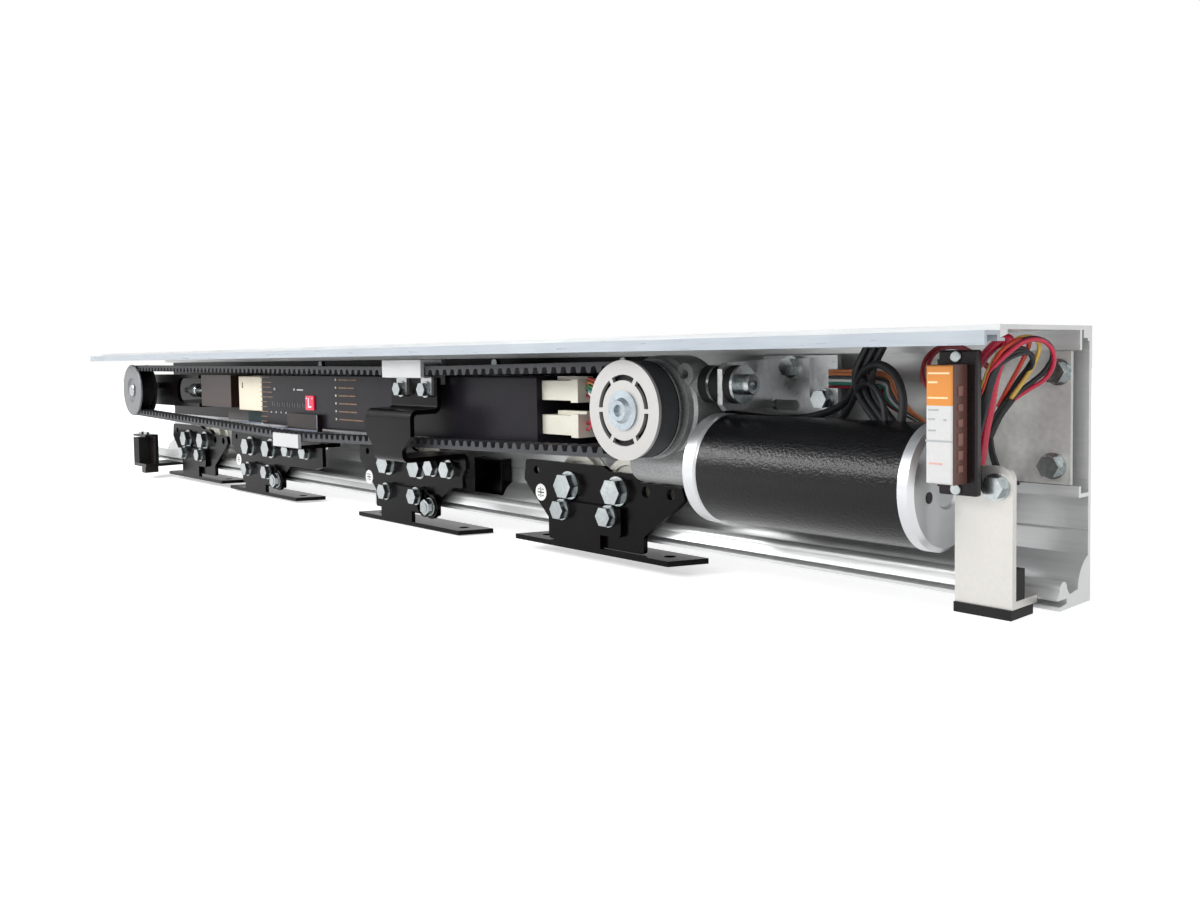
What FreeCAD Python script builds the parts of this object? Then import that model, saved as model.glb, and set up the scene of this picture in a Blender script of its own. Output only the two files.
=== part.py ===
import FreeCAD
import Part
import Sketcher
import math
import os

# Automatic sliding door operator on its header beam, cover off, in millimetres.
# X runs along the beam, Z is up, the wall face is Y = 0 and the front is -Y.
# The origin is the centre of the wall face. "Front" distances are measured from the wall.

os.makedirs("parts", exist_ok=True)
doc = FreeCAD.newDocument("operator")
sheet = doc.addObject("Spreadsheet::Sheet", "Sizes")
nodes = {}
rows = []


# Sizes and formulas

class Size:
    """A length that carries its number and its formula over the sheet's cells."""

    def __init__(self, number, text):
        self.number = number
        self.text = text

    def __add__(self, other):
        return Size(self.number + number(other), f"({self.text} + {text(other)})")

    def __radd__(self, other):
        return Size(number(other) + self.number, f"({text(other)} + {self.text})")

    def __sub__(self, other):
        return Size(self.number - number(other), f"({self.text} - {text(other)})")

    def __rsub__(self, other):
        return Size(number(other) - self.number, f"({text(other)} - {self.text})")

    def __mul__(self, other):
        return Size(self.number * number(other), f"({self.text} * {text(other)})")

    def __rmul__(self, other):
        return Size(number(other) * self.number, f"({text(other)} * {self.text})")

    def __truediv__(self, other):
        return Size(self.number / number(other), f"({self.text} / {text(other)})")

    def __neg__(self):
        return Size(-self.number, f"(0 - {self.text})")


def root(value):
    return Size(math.sqrt(value.number), f"sqrt({value.text})")


def number(value):
    return value.number if isinstance(value, Size) else float(value)


def text(value):
    return value.text if isinstance(value, Size) else f"{float(value):.6f}"


def size(alias, value):
    """Writes one driving dimension to the sheet and returns it for use in formulas."""
    rows.append(alias)
    cell = f"B{len(rows)}"
    sheet.set(f"A{len(rows)}", alias)
    sheet.set(cell, str(value))
    sheet.setAlias(cell, alias)
    return Size(float(value), f"Sizes.{alias}")


# Header beam extrusion
beam_length = size("beam_length", 990)
beam_height = size("beam_height", 112)
top_depth = size("top_depth", 76)
wall = size("wall", 2.4)
flange_wall = size("flange_wall", 1.8)
front_lip_drop = size("front_lip_drop", 4.7)
front_lip_depth = size("front_lip_depth", 5.7)
channel_top = size("channel_top", 102.2)
channel_bottom = size("channel_bottom", 47.7)
channel_lip = size("channel_lip", 1.8)
channel_front = size("channel_front", 11)
ledge_wall = size("ledge_wall", 1.6)
groove_height = size("groove_height", 28.7)
bead_front = size("bead_front", 24.2)
bead_height = size("bead_height", 8.2)
bead_radius = size("bead_radius", 3.2)
rail_front = size("rail_front", 29.3)
foot_front = size("foot_front", 27.3)
port_depth = size("port_depth", 8.6)
rail_cover_front = size("rail_cover_front", 87)
rail_cover_drop = size("rail_cover_drop", 5.2)
wall_hole_radius = size("wall_hole_radius", 3.25)
wall_hole_spacing = size("wall_hole_spacing", 300)

bottom = -beam_height / 2
half_length = beam_length / 2

# Toothed belt and its pulleys
belt_pitch = size("belt_pitch", 8)
belt_width = size("belt_width", 12)
belt_back = size("belt_back", 2.2)
tooth_depth = size("tooth_depth", 3.3)
belt_front = size("belt_front", 72.3)
pulley_teeth = size("pulley_teeth", 18)
pitch_offset = size("pitch_offset", 0.7)
drive_x = size("drive_x", 297.5)
idler_x = size("idler_x", -410.5)
pulley_height = size("pulley_height", 75.5)
pulley_disc_radius = size("pulley_disc_radius", 25)
pulley_disc_thickness = size("pulley_disc_thickness", 1.8)
pulley_flange_thickness = size("pulley_flange_thickness", 1.2)
belt_gap = size("belt_gap", 0.4)
shaft_radius = size("shaft_radius", 5)
shaft_fit = size("shaft_fit", 0.05)
upper_clamp_x = size("upper_clamp_x", 92)
upper_clamp_height = size("upper_clamp_height", 97.6)
lower_clamp_x = size("lower_clamp_x", -75)
lower_clamp_height = size("lower_clamp_height", 42.6)

pitch_radius = belt_pitch * pulley_teeth / (2 * math.pi)
land_radius = pitch_radius - pitch_offset
belt_back_radius = land_radius + belt_back
belt_rear = belt_front - belt_width
pulley_z = bottom + pulley_height

# Hangers
hanger_plate_front = size("hanger_plate_front", 35.5)
hanger_plate_thickness = size("hanger_plate_thickness", 3)
axle_height = size("axle_height", 27.5)
axle_spacing = size("axle_spacing", 41)
axle_radius = size("axle_radius", 4)
axle_hole_gap = size("axle_hole_gap", 0.25)
roller_radius = size("roller_radius", 18)
roller_width = size("roller_width", 9)
roller_gap = size("roller_gap", 0.3)
roller_fit = size("roller_fit", 0.05)
foot_bolt_height = size("foot_bolt_height", 13.5)
foot_bolt_spacing = size("foot_bolt_spacing", 40)
foot_bolt_shift = size("foot_bolt_shift", -4)
foot_bolt_radius = size("foot_bolt_radius", 3)
foot_width = size("foot_width", 140)
foot_depth = size("foot_depth", 22)
foot_thickness = size("foot_thickness", 3)
foot_flange_width = size("foot_flange_width", 58)
leaf_hole_radius = size("leaf_hole_radius", 3.3)
leaf_hole_spacing = size("leaf_hole_spacing", 104)
washer_thickness = size("washer_thickness", 1.6)
axle_washer_radius = size("axle_washer_radius", 8.4)
axle_head_across = size("axle_head_across", 13)
axle_head_height = size("axle_head_height", 5.3)
foot_washer_radius = size("foot_washer_radius", 6.2)
foot_head_across = size("foot_head_across", 10)
foot_head_height = size("foot_head_height", 4)

inner_bolt_height = size("inner_bolt_height", 7.5)
inner_foot_shift = size("inner_foot_shift", 8)
hangers = {
    "left_outer": (size("left_outer_x", -347), size("left_outer_drop", 11)),
    "left_inner": (size("left_inner_x", -204), size("left_inner_drop", 13.5)),
    "right_inner": (size("right_inner_x", 30), size("right_inner_drop", 14.5)),
    "right_outer": (size("right_outer_x", 231), size("right_outer_drop", 9)),
}
hanger_plate_back = hanger_plate_front - hanger_plate_thickness
foot_flange_front = hanger_plate_front + foot_thickness
axle_z = bottom + axle_height

# Gear motor and its rubber mount
motor_front = size("motor_front", 42)
motor_height = size("motor_height", 47)
motor_radius = size("motor_radius", 26.8)
motor_start = size("motor_start", 331)
motor_ring_length = size("motor_ring_length", 9)
motor_body_length = size("motor_body_length", 108.5)
motor_cap_length = size("motor_cap_length", 6.5)
gearbox_radius = size("gearbox_radius", 27)
gearbox_front = size("gearbox_front", 54)
gearbox_back = size("gearbox_back", 27)
worm_housing_radius = size("worm_housing_radius", 11)
worm_housing_left = size("worm_housing_left", 276)
ear_radius = size("ear_radius", 5.6)
damper_height = size("damper_height", 88)
damper_front = size("damper_front", 43)
damper_radius = size("damper_radius", 9.3)
damper_rubber_thickness = size("damper_rubber_thickness", 4.5)
damper_washer_thickness = size("damper_washer_thickness", 1.5)
damper_screw_radius = size("damper_screw_radius", 3)
bracket_thickness = size("bracket_thickness", 3)
bracket_tab_x = size("bracket_tab_x", 334)
bracket_right = size("bracket_right", 368)
slotted_plate_right = size("slotted_plate_right", 382)

motor_z = bottom + motor_height
motor_body_x = motor_start + motor_ring_length
motor_cap_x = motor_body_x + motor_body_length
motor_end_x = motor_cap_x + motor_cap_length

# Plates in the back channel and what they carry
channel_plate_thickness = size("channel_plate_thickness", 2)
channel_plate_gap = size("channel_plate_gap", 0.3)
strip_left = size("strip_left", -470)
strip_right = size("strip_right", 262)
end_plate_left = size("end_plate_left", 428)
end_plate_right = size("end_plate_right", 491.5)
control_left = size("control_left", -157)
control_right = size("control_right", 205)
control_front = size("control_front", 55)
control_raised_front = size("control_raised_front", 59)
control_flap_left = size("control_flap_left", -104)
control_raised_right = size("control_raised_right", -54)
control_bottom = size("control_bottom", 50.5)
control_top = size("control_top", 91.8)
module_left = size("module_left", -203)
module_bottom = size("module_bottom", 61)
module_top = size("module_top", 90)
connector_length = size("connector_length", 33)
connector_height = size("connector_height", 11)
connector_depth = size("connector_depth", 16)
upper_connector_height = size("upper_connector_height", 78)
lower_connector_height = size("lower_connector_height", 58.5)
terminal_gap = size("terminal_gap", 8)
terminal_x = motor_end_x + terminal_gap
terminal_width = size("terminal_width", 11.5)
terminal_front = size("terminal_front", 72)
terminal_back = size("terminal_back", 61.5)
terminal_bottom = size("terminal_bottom", 52)
terminal_top = size("terminal_top", 97.5)
terminal_base_back = size("terminal_base_back", 53.5)
stop_front = size("stop_front", 50)

plate_front = channel_front
plate_back = channel_front - channel_plate_thickness
strip_bottom = bottom + channel_bottom + channel_plate_gap
strip_height = channel_top - channel_bottom - 2 * channel_plate_gap


# Helpers that make features

def bind(thing, prop, value):
    """Sets a property and ties it to the sheet where the value is a formula."""
    if isinstance(value, Size):
        thing.setExpression(prop, value.text)
    elif prop.isalpha():
        setattr(thing, prop, value)


def place(thing, x, y, z, axis=(0, 0, 1), angle=0):
    """Puts a feature at x, y, z, turned about one axis, tied to the sheet."""
    base = FreeCAD.Vector(number(x), number(y), number(z))
    turn = FreeCAD.Rotation(FreeCAD.Vector(*axis), angle)
    thing.Placement = FreeCAD.Placement(base, turn)
    bind(thing, "Placement.Base.x", x)
    bind(thing, "Placement.Base.y", y)
    bind(thing, "Placement.Base.z", z)
    return thing


def box(name, x, front, z, length, thickness, height):
    """A block whose front face lies at the given distance from the wall."""
    block = doc.addObject("Part::Box", name)
    bind(block, "Length", length)
    bind(block, "Width", thickness)
    bind(block, "Height", height)
    return place(block, x, -1 * front, z)


turns = {"x": ((0, 1, 0), 90), "y": ((1, 0, 0), 90), "z": ((0, 0, 1), 0)}


def rod(name, along, x, front, z, radius, length):
    """A cylinder: along x, up z, or along y from the given distance towards the front."""
    cylinder = doc.addObject("Part::Cylinder", name)
    bind(cylinder, "Radius", radius)
    bind(cylinder, "Height", length)
    axis, angle = turns[along]
    return place(cylinder, x, -1 * front, z, axis, angle)


def hexagon(name, along, x, front, z, across, length):
    """A hexagon head or nut given by its size across flats."""
    prism = doc.addObject("Part::Prism", name)
    prism.Polygon = 6
    bind(prism, "Circumradius", across / math.sqrt(3))
    bind(prism, "Height", length)
    axis, angle = turns[along]
    return place(prism, x, -1 * front, z, axis, angle)


def cut(name, base, *tools):
    """Takes the tools away from the base."""
    difference = doc.addObject("Part::Cut", name)
    difference.Base = base
    difference.Tool = tools[0] if len(tools) == 1 else fuse(name + "_tools", *tools)
    return difference


def fuse(name, *pieces):
    """Joins features into one solid."""
    union = doc.addObject("Part::MultiFuse", name)
    union.Shapes = list(pieces)
    return union


def group(name, pieces):
    """Keeps several solids together in one sub-part."""
    bundle = doc.addObject("Part::Compound", name)
    bundle.Links = list(pieces)
    return bundle


def node(name, feature):
    """Registers a finished sub-part under its own name."""
    feature.Label = name
    nodes[name] = feature
    return feature


def arc_centre(start, end, radius):
    """The centre of the short arc from start to end, left of the way for a positive radius."""
    chord = end - start
    reach = math.sqrt(max(radius ** 2 - (chord.Length / 2) ** 2, 0))
    side = FreeCAD.Vector(-chord.y, chord.x, 0).normalize()
    return (start + end) * 0.5 + side * math.copysign(reach, radius)


def draw_loop(sketch, loop):
    """Adds a closed outline; a third value on a point is the radius of the arc that leaves it."""
    points = [FreeCAD.Vector(number(p[0]), number(p[1]), 0) for p in loop]
    ends = []
    for index, point in enumerate(points):
        following = points[(index + 1) % len(points)]
        radius = number(loop[index][2]) if len(loop[index]) > 2 else 0
        if radius == 0:
            edge = sketch.addGeometry(Part.LineSegment(point, following), False)
            ends.append((edge, 1, 2))
            continue
        centre = arc_centre(point, following, radius)
        first, last = (point, following) if radius > 0 else (following, point)
        start_angle = math.atan2(first.y - centre.y, first.x - centre.x)
        end_angle = math.atan2(last.y - centre.y, last.x - centre.x)
        if end_angle < start_angle:
            end_angle += 2 * math.pi
        circle = Part.Circle(centre, FreeCAD.Vector(0, 0, 1), abs(radius))
        edge = sketch.addGeometry(Part.ArcOfCircle(circle, start_angle, end_angle), False)
        ends.append((edge, 1, 2) if radius > 0 else (edge, 2, 1))
        chord = following - point
        if abs(chord.Length - 2 * abs(radius)) < 1e-6:
            upright_chord = abs(chord.x) < abs(chord.y)
            kind = "DistanceX" if upright_chord else "DistanceY"
            value = loop[index][0] if upright_chord else loop[index][1]
            rule = sketch.addConstraint(Sketcher.Constraint(kind, -1, 1, edge, 3, number(value)))
            bind(sketch, f"Constraints[{rule}]", value)
            continue
        rule = sketch.addConstraint(Sketcher.Constraint("Radius", edge, abs(radius)))
        reach = loop[index][2] if radius > 0 else -1 * loop[index][2]
        bind(sketch, f"Constraints[{rule}]", reach)
    for index, (edge, start, end) in enumerate(ends):
        next_edge, next_start, _ = ends[(index + 1) % len(ends)]
        sketch.addConstraint(Sketcher.Constraint("Coincident", edge, end, next_edge, next_start))
        for kind, value in (("DistanceX", loop[index][0]), ("DistanceY", loop[index][1])):
            rule = sketch.addConstraint(
                Sketcher.Constraint(kind, -1, 1, edge, start, number(value)))
            bind(sketch, f"Constraints[{rule}]", value)


def draw_circle(sketch, x, y, radius):
    """Adds a round hole or disc outline."""
    centre = FreeCAD.Vector(number(x), number(y), 0)
    circle = Part.Circle(centre, FreeCAD.Vector(0, 0, 1), number(radius))
    edge = sketch.addGeometry(circle, False)
    rules = (("DistanceX", x), ("DistanceY", y))
    for kind, value in rules:
        rule = sketch.addConstraint(Sketcher.Constraint(kind, -1, 1, edge, 3, number(value)))
        bind(sketch, f"Constraints[{rule}]", value)
    rule = sketch.addConstraint(Sketcher.Constraint("Radius", edge, number(radius)))
    bind(sketch, f"Constraints[{rule}]", radius)


def slot_loop(x, low, high, radius):
    """An upright slot with round ends."""
    return [(x - radius, low), (x - radius, high, -1 * radius), (x + radius, high),
            (x + radius, low, -1 * radius)]


def level_slot(left, right, z, radius):
    """A lying slot with round ends."""
    return [(left, z - radius), (right, z - radius, radius), (right, z + radius),
            (left, z + radius, radius)]


def sketch_in(body, plane, distance, loops, circles=()):
    """Draws outlines on one of the body's own planes, moved along its normal."""
    sketch = body.newObject("Sketcher::SketchObject", body.Name + "_outline")
    found = [item for item in body.Origin.OriginFeatures if item.Role == plane + "_Plane"]
    sketch.AttachmentSupport = [(found[0], "")]
    sketch.MapMode = "FlatFace"
    offset = FreeCAD.Placement(FreeCAD.Vector(0, 0, number(distance)), FreeCAD.Rotation())
    sketch.AttachmentOffset = offset
    bind(sketch, "AttachmentOffset.Base.z", distance)
    for loop in loops:
        draw_loop(sketch, loop)
    for circle in circles:
        draw_circle(sketch, *circle)
    return sketch


def padded(name, plane, distance, length, loops, circles=()):
    """A body with one outline padded: XZ pads run to the front, YZ to the right, XY upwards."""
    body = doc.addObject("PartDesign::Body", name)
    sketch = sketch_in(body, plane, distance, loops, circles)
    pad = body.newObject("PartDesign::Pad", name + "_pad")
    pad.Profile = sketch
    bind(pad, "Length", length)
    sketch.Visibility = False
    return body


def add_pad(body, plane, distance, length, loops, circles=()):
    """One more padded outline on the same body."""
    sketch = sketch_in(body, plane, distance, loops, circles)
    pad = body.newObject("PartDesign::Pad", body.Name + "_more")
    pad.Profile = sketch
    bind(pad, "Length", length)
    return pad


def add_pocket(body, plane, distance, length, loops, circles=(), reverse=False):
    """A pocket cut from the given plane; it runs against the plane's normal."""
    sketch = sketch_in(body, plane, distance, loops, circles)
    pocket = body.newObject("PartDesign::Pocket", body.Name + "_pocket")
    pocket.Profile = sketch
    pocket.Reversed = reverse
    bind(pocket, "Length", length)
    return pocket


def round_edges(body, radius, chosen):
    """Rounds the edges of the body's last feature that the chooser picks."""
    doc.recompute()
    tip = body.Tip
    names = [f"Edge{i + 1}" for i, edge in enumerate(tip.Shape.Edges) if chosen(edge)]
    fillet = body.newObject("PartDesign::Fillet", body.Name + "_round")
    fillet.Base = (tip, names)
    bind(fillet, "Radius", radius)
    return fillet


def runs_along(edge, axis):
    """Tells whether a straight edge runs along x, y or z."""
    if not isinstance(edge.Curve, Part.Line):
        return False
    return abs(getattr(edge.Curve.Direction, axis)) > 0.999


def turned(name, along, x, front, z, profile):
    """A body turned about its axis; profile points are radius and distance along the axis."""
    body = doc.addObject("PartDesign::Body", name)
    sketch = sketch_in(body, "XY", 0, [profile])
    spin = body.newObject("PartDesign::Revolution", name + "_turned")
    spin.Profile = sketch
    spin.ReferenceAxis = (sketch, ["V_Axis"])
    spin.Angle = 360
    axis, angle = {"y": ((1, 0, 0), 180), "x": ((0, 0, 1), -90)}[along]
    place(body, x, -1 * front, z, axis, angle)
    return body


def rectangle(left, low, right, high):
    return [(left, low), (right, low), (right, high), (left, high)]


# Header beam: back plate, top flange, channel lips, groove and roller rail

def beam_section():
    """The extrusion's outline seen from the right end: Y, then Z."""
    top = -bottom
    under = top - flange_wall
    lip_back = channel_lip - channel_front
    ledge = bottom + channel_bottom
    channel = bottom + channel_top
    bead_low = bottom + bead_height
    return [
        (0, bottom),
        (0, top),
        (-1 * top_depth, top),
        (-1 * top_depth, top - front_lip_drop),
        (1 - top_depth, top - front_lip_drop),
        (front_lip_depth - top_depth, top - front_lip_drop + 1.2),
        (front_lip_depth - top_depth, under),
        (-1 * channel_front, under),
        (-1 * channel_front, channel),
        (lip_back, channel),
        (lip_back, under),
        (1 - port_depth, under),
        (1 - port_depth, under - 3.2),
        (-1 * wall - 1.6, under - 3.2),
        (-1 * wall - 1.6, under - 4.4),
        (-1 * wall, under - 4.4),
        (-1 * wall, ledge - 3),
        (lip_back, ledge - 3),
        (lip_back, ledge),
        (-1 * channel_front, ledge),
        (-1 * channel_front, ledge - 3 - ledge_wall),
        (-1 * wall, ledge - 3 - ledge_wall),
        (-1 * wall, bottom + groove_height + 0.6),
        (0.5 - wall, bottom + groove_height),
        (-1 * wall, bottom + groove_height - 0.6),
        (-1 * wall, bottom + 19, 14.5),
        (-11.5, bottom + 6.4),
        (bead_radius - bead_front + 2.2, bottom + 5.6),
        (bead_radius - bead_front, bead_low, bead_radius),
        (-1 * bead_front, bead_low + bead_radius, bead_radius),
        (-1 * bead_front - bead_radius, bead_low),
        (-1 * rail_front, bottom + 4.4),
        (6 - foot_front, bottom + 4.4),
        (6 - foot_front, bottom + 2.2),
        (-1 * foot_front, bottom + 1.6),
        (-1 * foot_front, bottom),
    ]


beam = padded("header_beam", "YZ", -1 * half_length, beam_length, [beam_section()])
wall_holes = [
    (side * wall_hole_spacing / 2, bottom + groove_height, wall_hole_radius) for side in (-3, -1, 1)
]
add_pocket(beam, "XZ", 0, wall + 1, [], wall_holes, reverse=True)
node("header_beam", beam)

# Cover rail hooked under the front lip
rail_top = -bottom - 2.2
rail_low = rail_top - rail_cover_drop
node("cover_rail", padded("cover_rail", "YZ", -1 * half_length, beam_length, [[
    (-1 * top_depth - 0.1, rail_top),
    (-1 * rail_cover_front, rail_top),
    (-1 * rail_cover_front, rail_low),
    (1.8 - rail_cover_front, rail_low),
    (1.8 - rail_cover_front, rail_top - 1.6),
    (-1 * top_depth - 2, rail_top - 1.6),
    (-1 * top_depth - 2, rail_low + 1.4),
    (3.6 - top_depth, rail_low + 1.4),
    (3.6 - top_depth, rail_low + 2.6),
    (-1 * top_depth - 0.1, rail_low + 2.6),
]]))

# Plates held between the lips of the back channel
strip_screws_x = [size("strip_screw_one", -137), size("strip_screw_two", 107),
                  size("strip_screw_three", 232)]
strip_screw_z = bottom + channel_top - 3.6
small_shank = size("small_shank", 1.5)
small_head = size("small_head", 3)
node("mounting_strip", padded(
    "mounting_strip", "XZ", plate_back, channel_plate_thickness,
    [rectangle(strip_left, strip_bottom, strip_right, strip_bottom + strip_height)],
    [(x, strip_screw_z, small_shank + 0.1) for x in strip_screws_x]))

hex_shank = size("hex_shank", 2.5)
hex_across = size("hex_across", 8)
hex_head = size("hex_head", 3.5)
hex_washer = size("hex_washer", 5.4)
end_screws = [
    (end_plate_right - 5, bottom + 93.5),
    (end_plate_right - 7, bottom + 55.4),
]
node("end_plate", padded(
    "end_plate", "XZ", plate_back, channel_plate_thickness,
    [rectangle(end_plate_left, strip_bottom, end_plate_right, strip_bottom + strip_height)],
    [(x, z, hex_shank + 0.1) for x, z in end_screws]))


def hex_bolt(name, x, front, z, washers=1, reach=5):
    """A small hexagon bolt facing the front on a stack of washers."""
    seat = front + washers * 1
    stack = [rod(f"{name}_washer_{i}", "y", x, front + i, z, hex_washer - 0.4 * i, 1)
             for i in range(washers)]
    shank = rod(name + "_shank", "y", x, front - reach, z, hex_shank, seat - front + reach)
    head = hexagon(name + "_head", "y", x, seat, z, hex_across, hex_head)
    rings = [cut(f"{name}_ring_{i}", piece, rod(
        f"{name}_bore_{i}", "y", x, front + i - 1, z, hex_shank + 0.05, 3))
        for i, piece in enumerate(stack)]
    return [fuse(name, shank, head)] + rings


# Motor bracket: a slotted plate on the channel and an angle that carries the rubber mount
slot_radius = size("slot_radius", 3)
bolt_gap = size("bolt_gap", 0.1)
angle_bottom = size("angle_bottom", 80.7)
angle_top = size("angle_top", 104)
tab_front = size("tab_front", 45)
tab_low = size("tab_low", 75.5)
slotted_bolt_x = slotted_plate_right - 7.5
slotted_bolt_z = bottom + 80.5
slotted_left = bracket_tab_x + 3
slotted_front = plate_front + bracket_thickness
angle_front = slotted_front + bracket_thickness
angle_bolt = (bracket_right - 11, bottom + 96)
hole = hex_shank + bolt_gap
slotted = padded(
    "slotted_plate", "XZ", plate_front, bracket_thickness,
    [rectangle(slotted_left, bottom + 73, slotted_plate_right, bottom + 101.5)],
    [(slotted_bolt_x, slotted_bolt_z, hole), angle_bolt + (hole,)])
add_pocket(slotted, "XZ", plate_front, bracket_thickness,
           [level_slot(slotted_left + 8, slotted_left + 20, bottom + 77, slot_radius - 0.4)],
           reverse=True)
node("slotted_plate", slotted)

damper_z = bottom + damper_height
angle = padded("motor_bracket", "XZ", slotted_front, bracket_thickness, [
    rectangle(bracket_tab_x + 6, bottom + angle_bottom, bracket_right, bottom + angle_top - 4),
], [angle_bolt + (hole,)])
add_pad(angle, "YZ", bracket_tab_x + 6, bracket_thickness, [[
    (-1 * slotted_front, bottom + tab_low),
    (-1 * slotted_front, bottom + angle_top - 4),
    (-1 * tab_front - 4, bottom + tab_low + 23),
    (-1 * tab_front - 7, bottom + tab_low + 20),
    (-1 * tab_front - 7, bottom + tab_low + 3),
    (-1 * tab_front - 4, bottom + tab_low),
]], [(-1 * damper_front, damper_z, damper_screw_radius + bolt_gap)])
node("motor_bracket", angle)


# Gear housing: a round wheel case with a worm tube, a fixing ear and the boss of the mount
wheel_case = turned("wheel_case", "y", drive_x, gearbox_back, pulley_z, [
    (0, 0),
    (gearbox_radius - 2, 0),
    (gearbox_radius, 2),
    (gearbox_radius, gearbox_front - gearbox_back - 5),
    (gearbox_radius - 1.5, gearbox_front - gearbox_back - 3.5),
    (gearbox_radius - 1.5, gearbox_front - gearbox_back),
    (gearbox_radius - 5, gearbox_front - gearbox_back),
    (gearbox_radius - 6, gearbox_front - gearbox_back - 1.5),
    (shaft_radius + 6, gearbox_front - gearbox_back - 1.5),
    (shaft_radius + 5, gearbox_front - gearbox_back + 2),
    (0, gearbox_front - gearbox_back + 2),
])
worm_tube = turned("worm_tube", "x", worm_housing_left, motor_front, motor_z, [
    (0, 0),
    (worm_housing_radius - 4, 0),
    (worm_housing_radius - 4, 2.5),
    (worm_housing_radius - 1, 2.5),
    (worm_housing_radius, 3.5),
    (worm_housing_radius, motor_start - worm_housing_left - 14),
    (motor_radius - 8, motor_start - worm_housing_left - 5),
    (motor_radius - 8, motor_start - worm_housing_left),
    (0, motor_start - worm_housing_left),
])
boss_x = bracket_tab_x - 7
mount_boss = rod("mount_boss", "x", drive_x, damper_front, damper_z, damper_radius - 2,
                 boss_x - drive_x)
ear_x = drive_x + 21
ear_z = pulley_z + 17.5
ear = rod("ear", "y", ear_x, gearbox_front - 12, ear_z, ear_radius, 10)
ear_web = box("ear_web", drive_x, gearbox_front - 2, pulley_z, 21, 10, 17.5)
neck = box("neck", drive_x - 12, motor_front + 8, motor_z, 24, 16, pulley_height - motor_height)
housing = cut(
    "gearbox_housing_cut",
    fuse("gearbox_case", wheel_case, worm_tube, mount_boss, ear, ear_web, neck),
    rod("shaft_bore", "y", drive_x, gearbox_back + 4, pulley_z, shaft_radius + shaft_fit, 40),
    rod("ear_hole", "y", ear_x, gearbox_front - 20, ear_z, 2.2, 30),
    rod("mount_hole", "x", boss_x - 10, damper_front, damper_z, damper_screw_radius, 20),
)
node("gearbox_housing", housing)

# Motor: aluminium front ring, steel body and rear cap
node("motor_front_ring", turned("motor_front_ring", "x", motor_start, motor_front, motor_z, [
    (0, 0),
    (motor_radius - 1, 0),
    (motor_radius, 1),
    (motor_radius, motor_ring_length - 1.6),
    (motor_radius - 1, motor_ring_length - 0.8),
    (motor_radius - 1, motor_ring_length),
    (0, motor_ring_length),
]))
node("motor_body", turned("motor_body", "x", motor_body_x, motor_front, motor_z, [
    (0, 0),
    (motor_radius - 0.5, 0),
    (motor_radius - 0.5, motor_body_length),
    (0, motor_body_length),
]))
cap = turned("motor_rear_cap", "x", motor_cap_x, motor_front, motor_z, [
    (0, 0),
    (motor_radius, 0),
    (motor_radius, motor_cap_length - 2),
    (motor_radius - 2, motor_cap_length),
    (9, motor_cap_length),
    (8, motor_cap_length - 1),
    (0, motor_cap_length - 1),
])
node("motor_rear_cap", cap)

# Rubber mount: rings on a socket screw through the bracket's tab
tab_left = bracket_tab_x + 6
tab_right = tab_left + bracket_thickness
rubber_bore = damper_screw_radius + bolt_gap
rubbers = [
    ("outer_rubber", boss_x, 5.5, 0),
    ("middle_rubber", boss_x + 5.5 + damper_washer_thickness,
     tab_left - boss_x - 5.5 - damper_washer_thickness, 0.8),
    ("inner_rubber", tab_right, damper_rubber_thickness, 0),
]
node("mount_rubbers", group("mount_rubbers", [
    cut(name + "_ring",
        rod(name, "x", left, damper_front, damper_z, damper_radius - step, length),
        rod(name + "_bore", "x", left - 1, damper_front, damper_z, rubber_bore, length + 2))
    for name, left, length, step in rubbers]))
washers_left = [
    ("mount_washer_inner", boss_x + 5.5),
    ("mount_washer_outer", tab_right + damper_rubber_thickness),
]
screw_end = tab_right + damper_rubber_thickness + damper_washer_thickness
mount_screw = turned("mount_screw", "x", boss_x - 8, damper_front, damper_z, [
    (0, 0),
    (damper_screw_radius, 0),
    (damper_screw_radius, screw_end - boss_x + 8),
    (5, screw_end - boss_x + 8),
    (5, screw_end - boss_x + 13.5),
    (4.5, screw_end - boss_x + 14),
    (2.5, screw_end - boss_x + 14),
    (2.5, screw_end - boss_x + 11),
    (0, screw_end - boss_x + 11),
])
node("mount_screw", group("mount_screw_set", [mount_screw] + [
    cut(name + "_ring",
        rod(name, "x", left, damper_front, damper_z, damper_radius, damper_washer_thickness),
        rod(name + "_bore", "x", left - 1, damper_front, damper_z, rubber_bore, 5))
    for name, left in washers_left]))

# Control unit with its raised display panel, plug-in module and plugs
control_depth = control_front - plate_front
control = padded("control_unit", "XZ", plate_front, control_depth, [
    rectangle(control_left, bottom + control_bottom, control_right, bottom + control_top)])
add_pad(control, "XZ", plate_front, control_depth - 8, [
    rectangle(module_left, bottom + control_bottom, control_left, bottom + module_bottom - 0.5)])
round_edges(control, 1.5, lambda edge: runs_along(edge, "x") and edge.BoundBox.YMax < -50)
node("control_unit", control)
flap_low = bottom + size("flap_low", 48.5)
flap_height = size("flap_height", 13)
flap = padded("control_panel", "XZ", control_front, control_raised_front - control_front, [
    rectangle(control_flap_left, flap_low, control_raised_right, flap_low + flap_height)])
round_edges(flap, 1.5, lambda edge: runs_along(edge, "y") and edge.BoundBox.ZMin > -1)
node("control_panel", flap)
display_x = size("display_x", -78)
display_bottom = size("display_bottom", 64.4)
display_size = size("display_size", 13)
node("status_display", padded("status_display", "XZ", control_front, 1.2, [
    rectangle(display_x, bottom + display_bottom, display_x + display_size,
              bottom + display_bottom + display_size - 2)]))
module_right = control_left - 1
module = padded("plug_module", "XZ", plate_front, control_front - plate_front, [
    rectangle(module_left, bottom + module_bottom, module_right, bottom + module_top)])
round_edges(module, 1, lambda edge: edge.BoundBox.YMax < -50)
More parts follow.
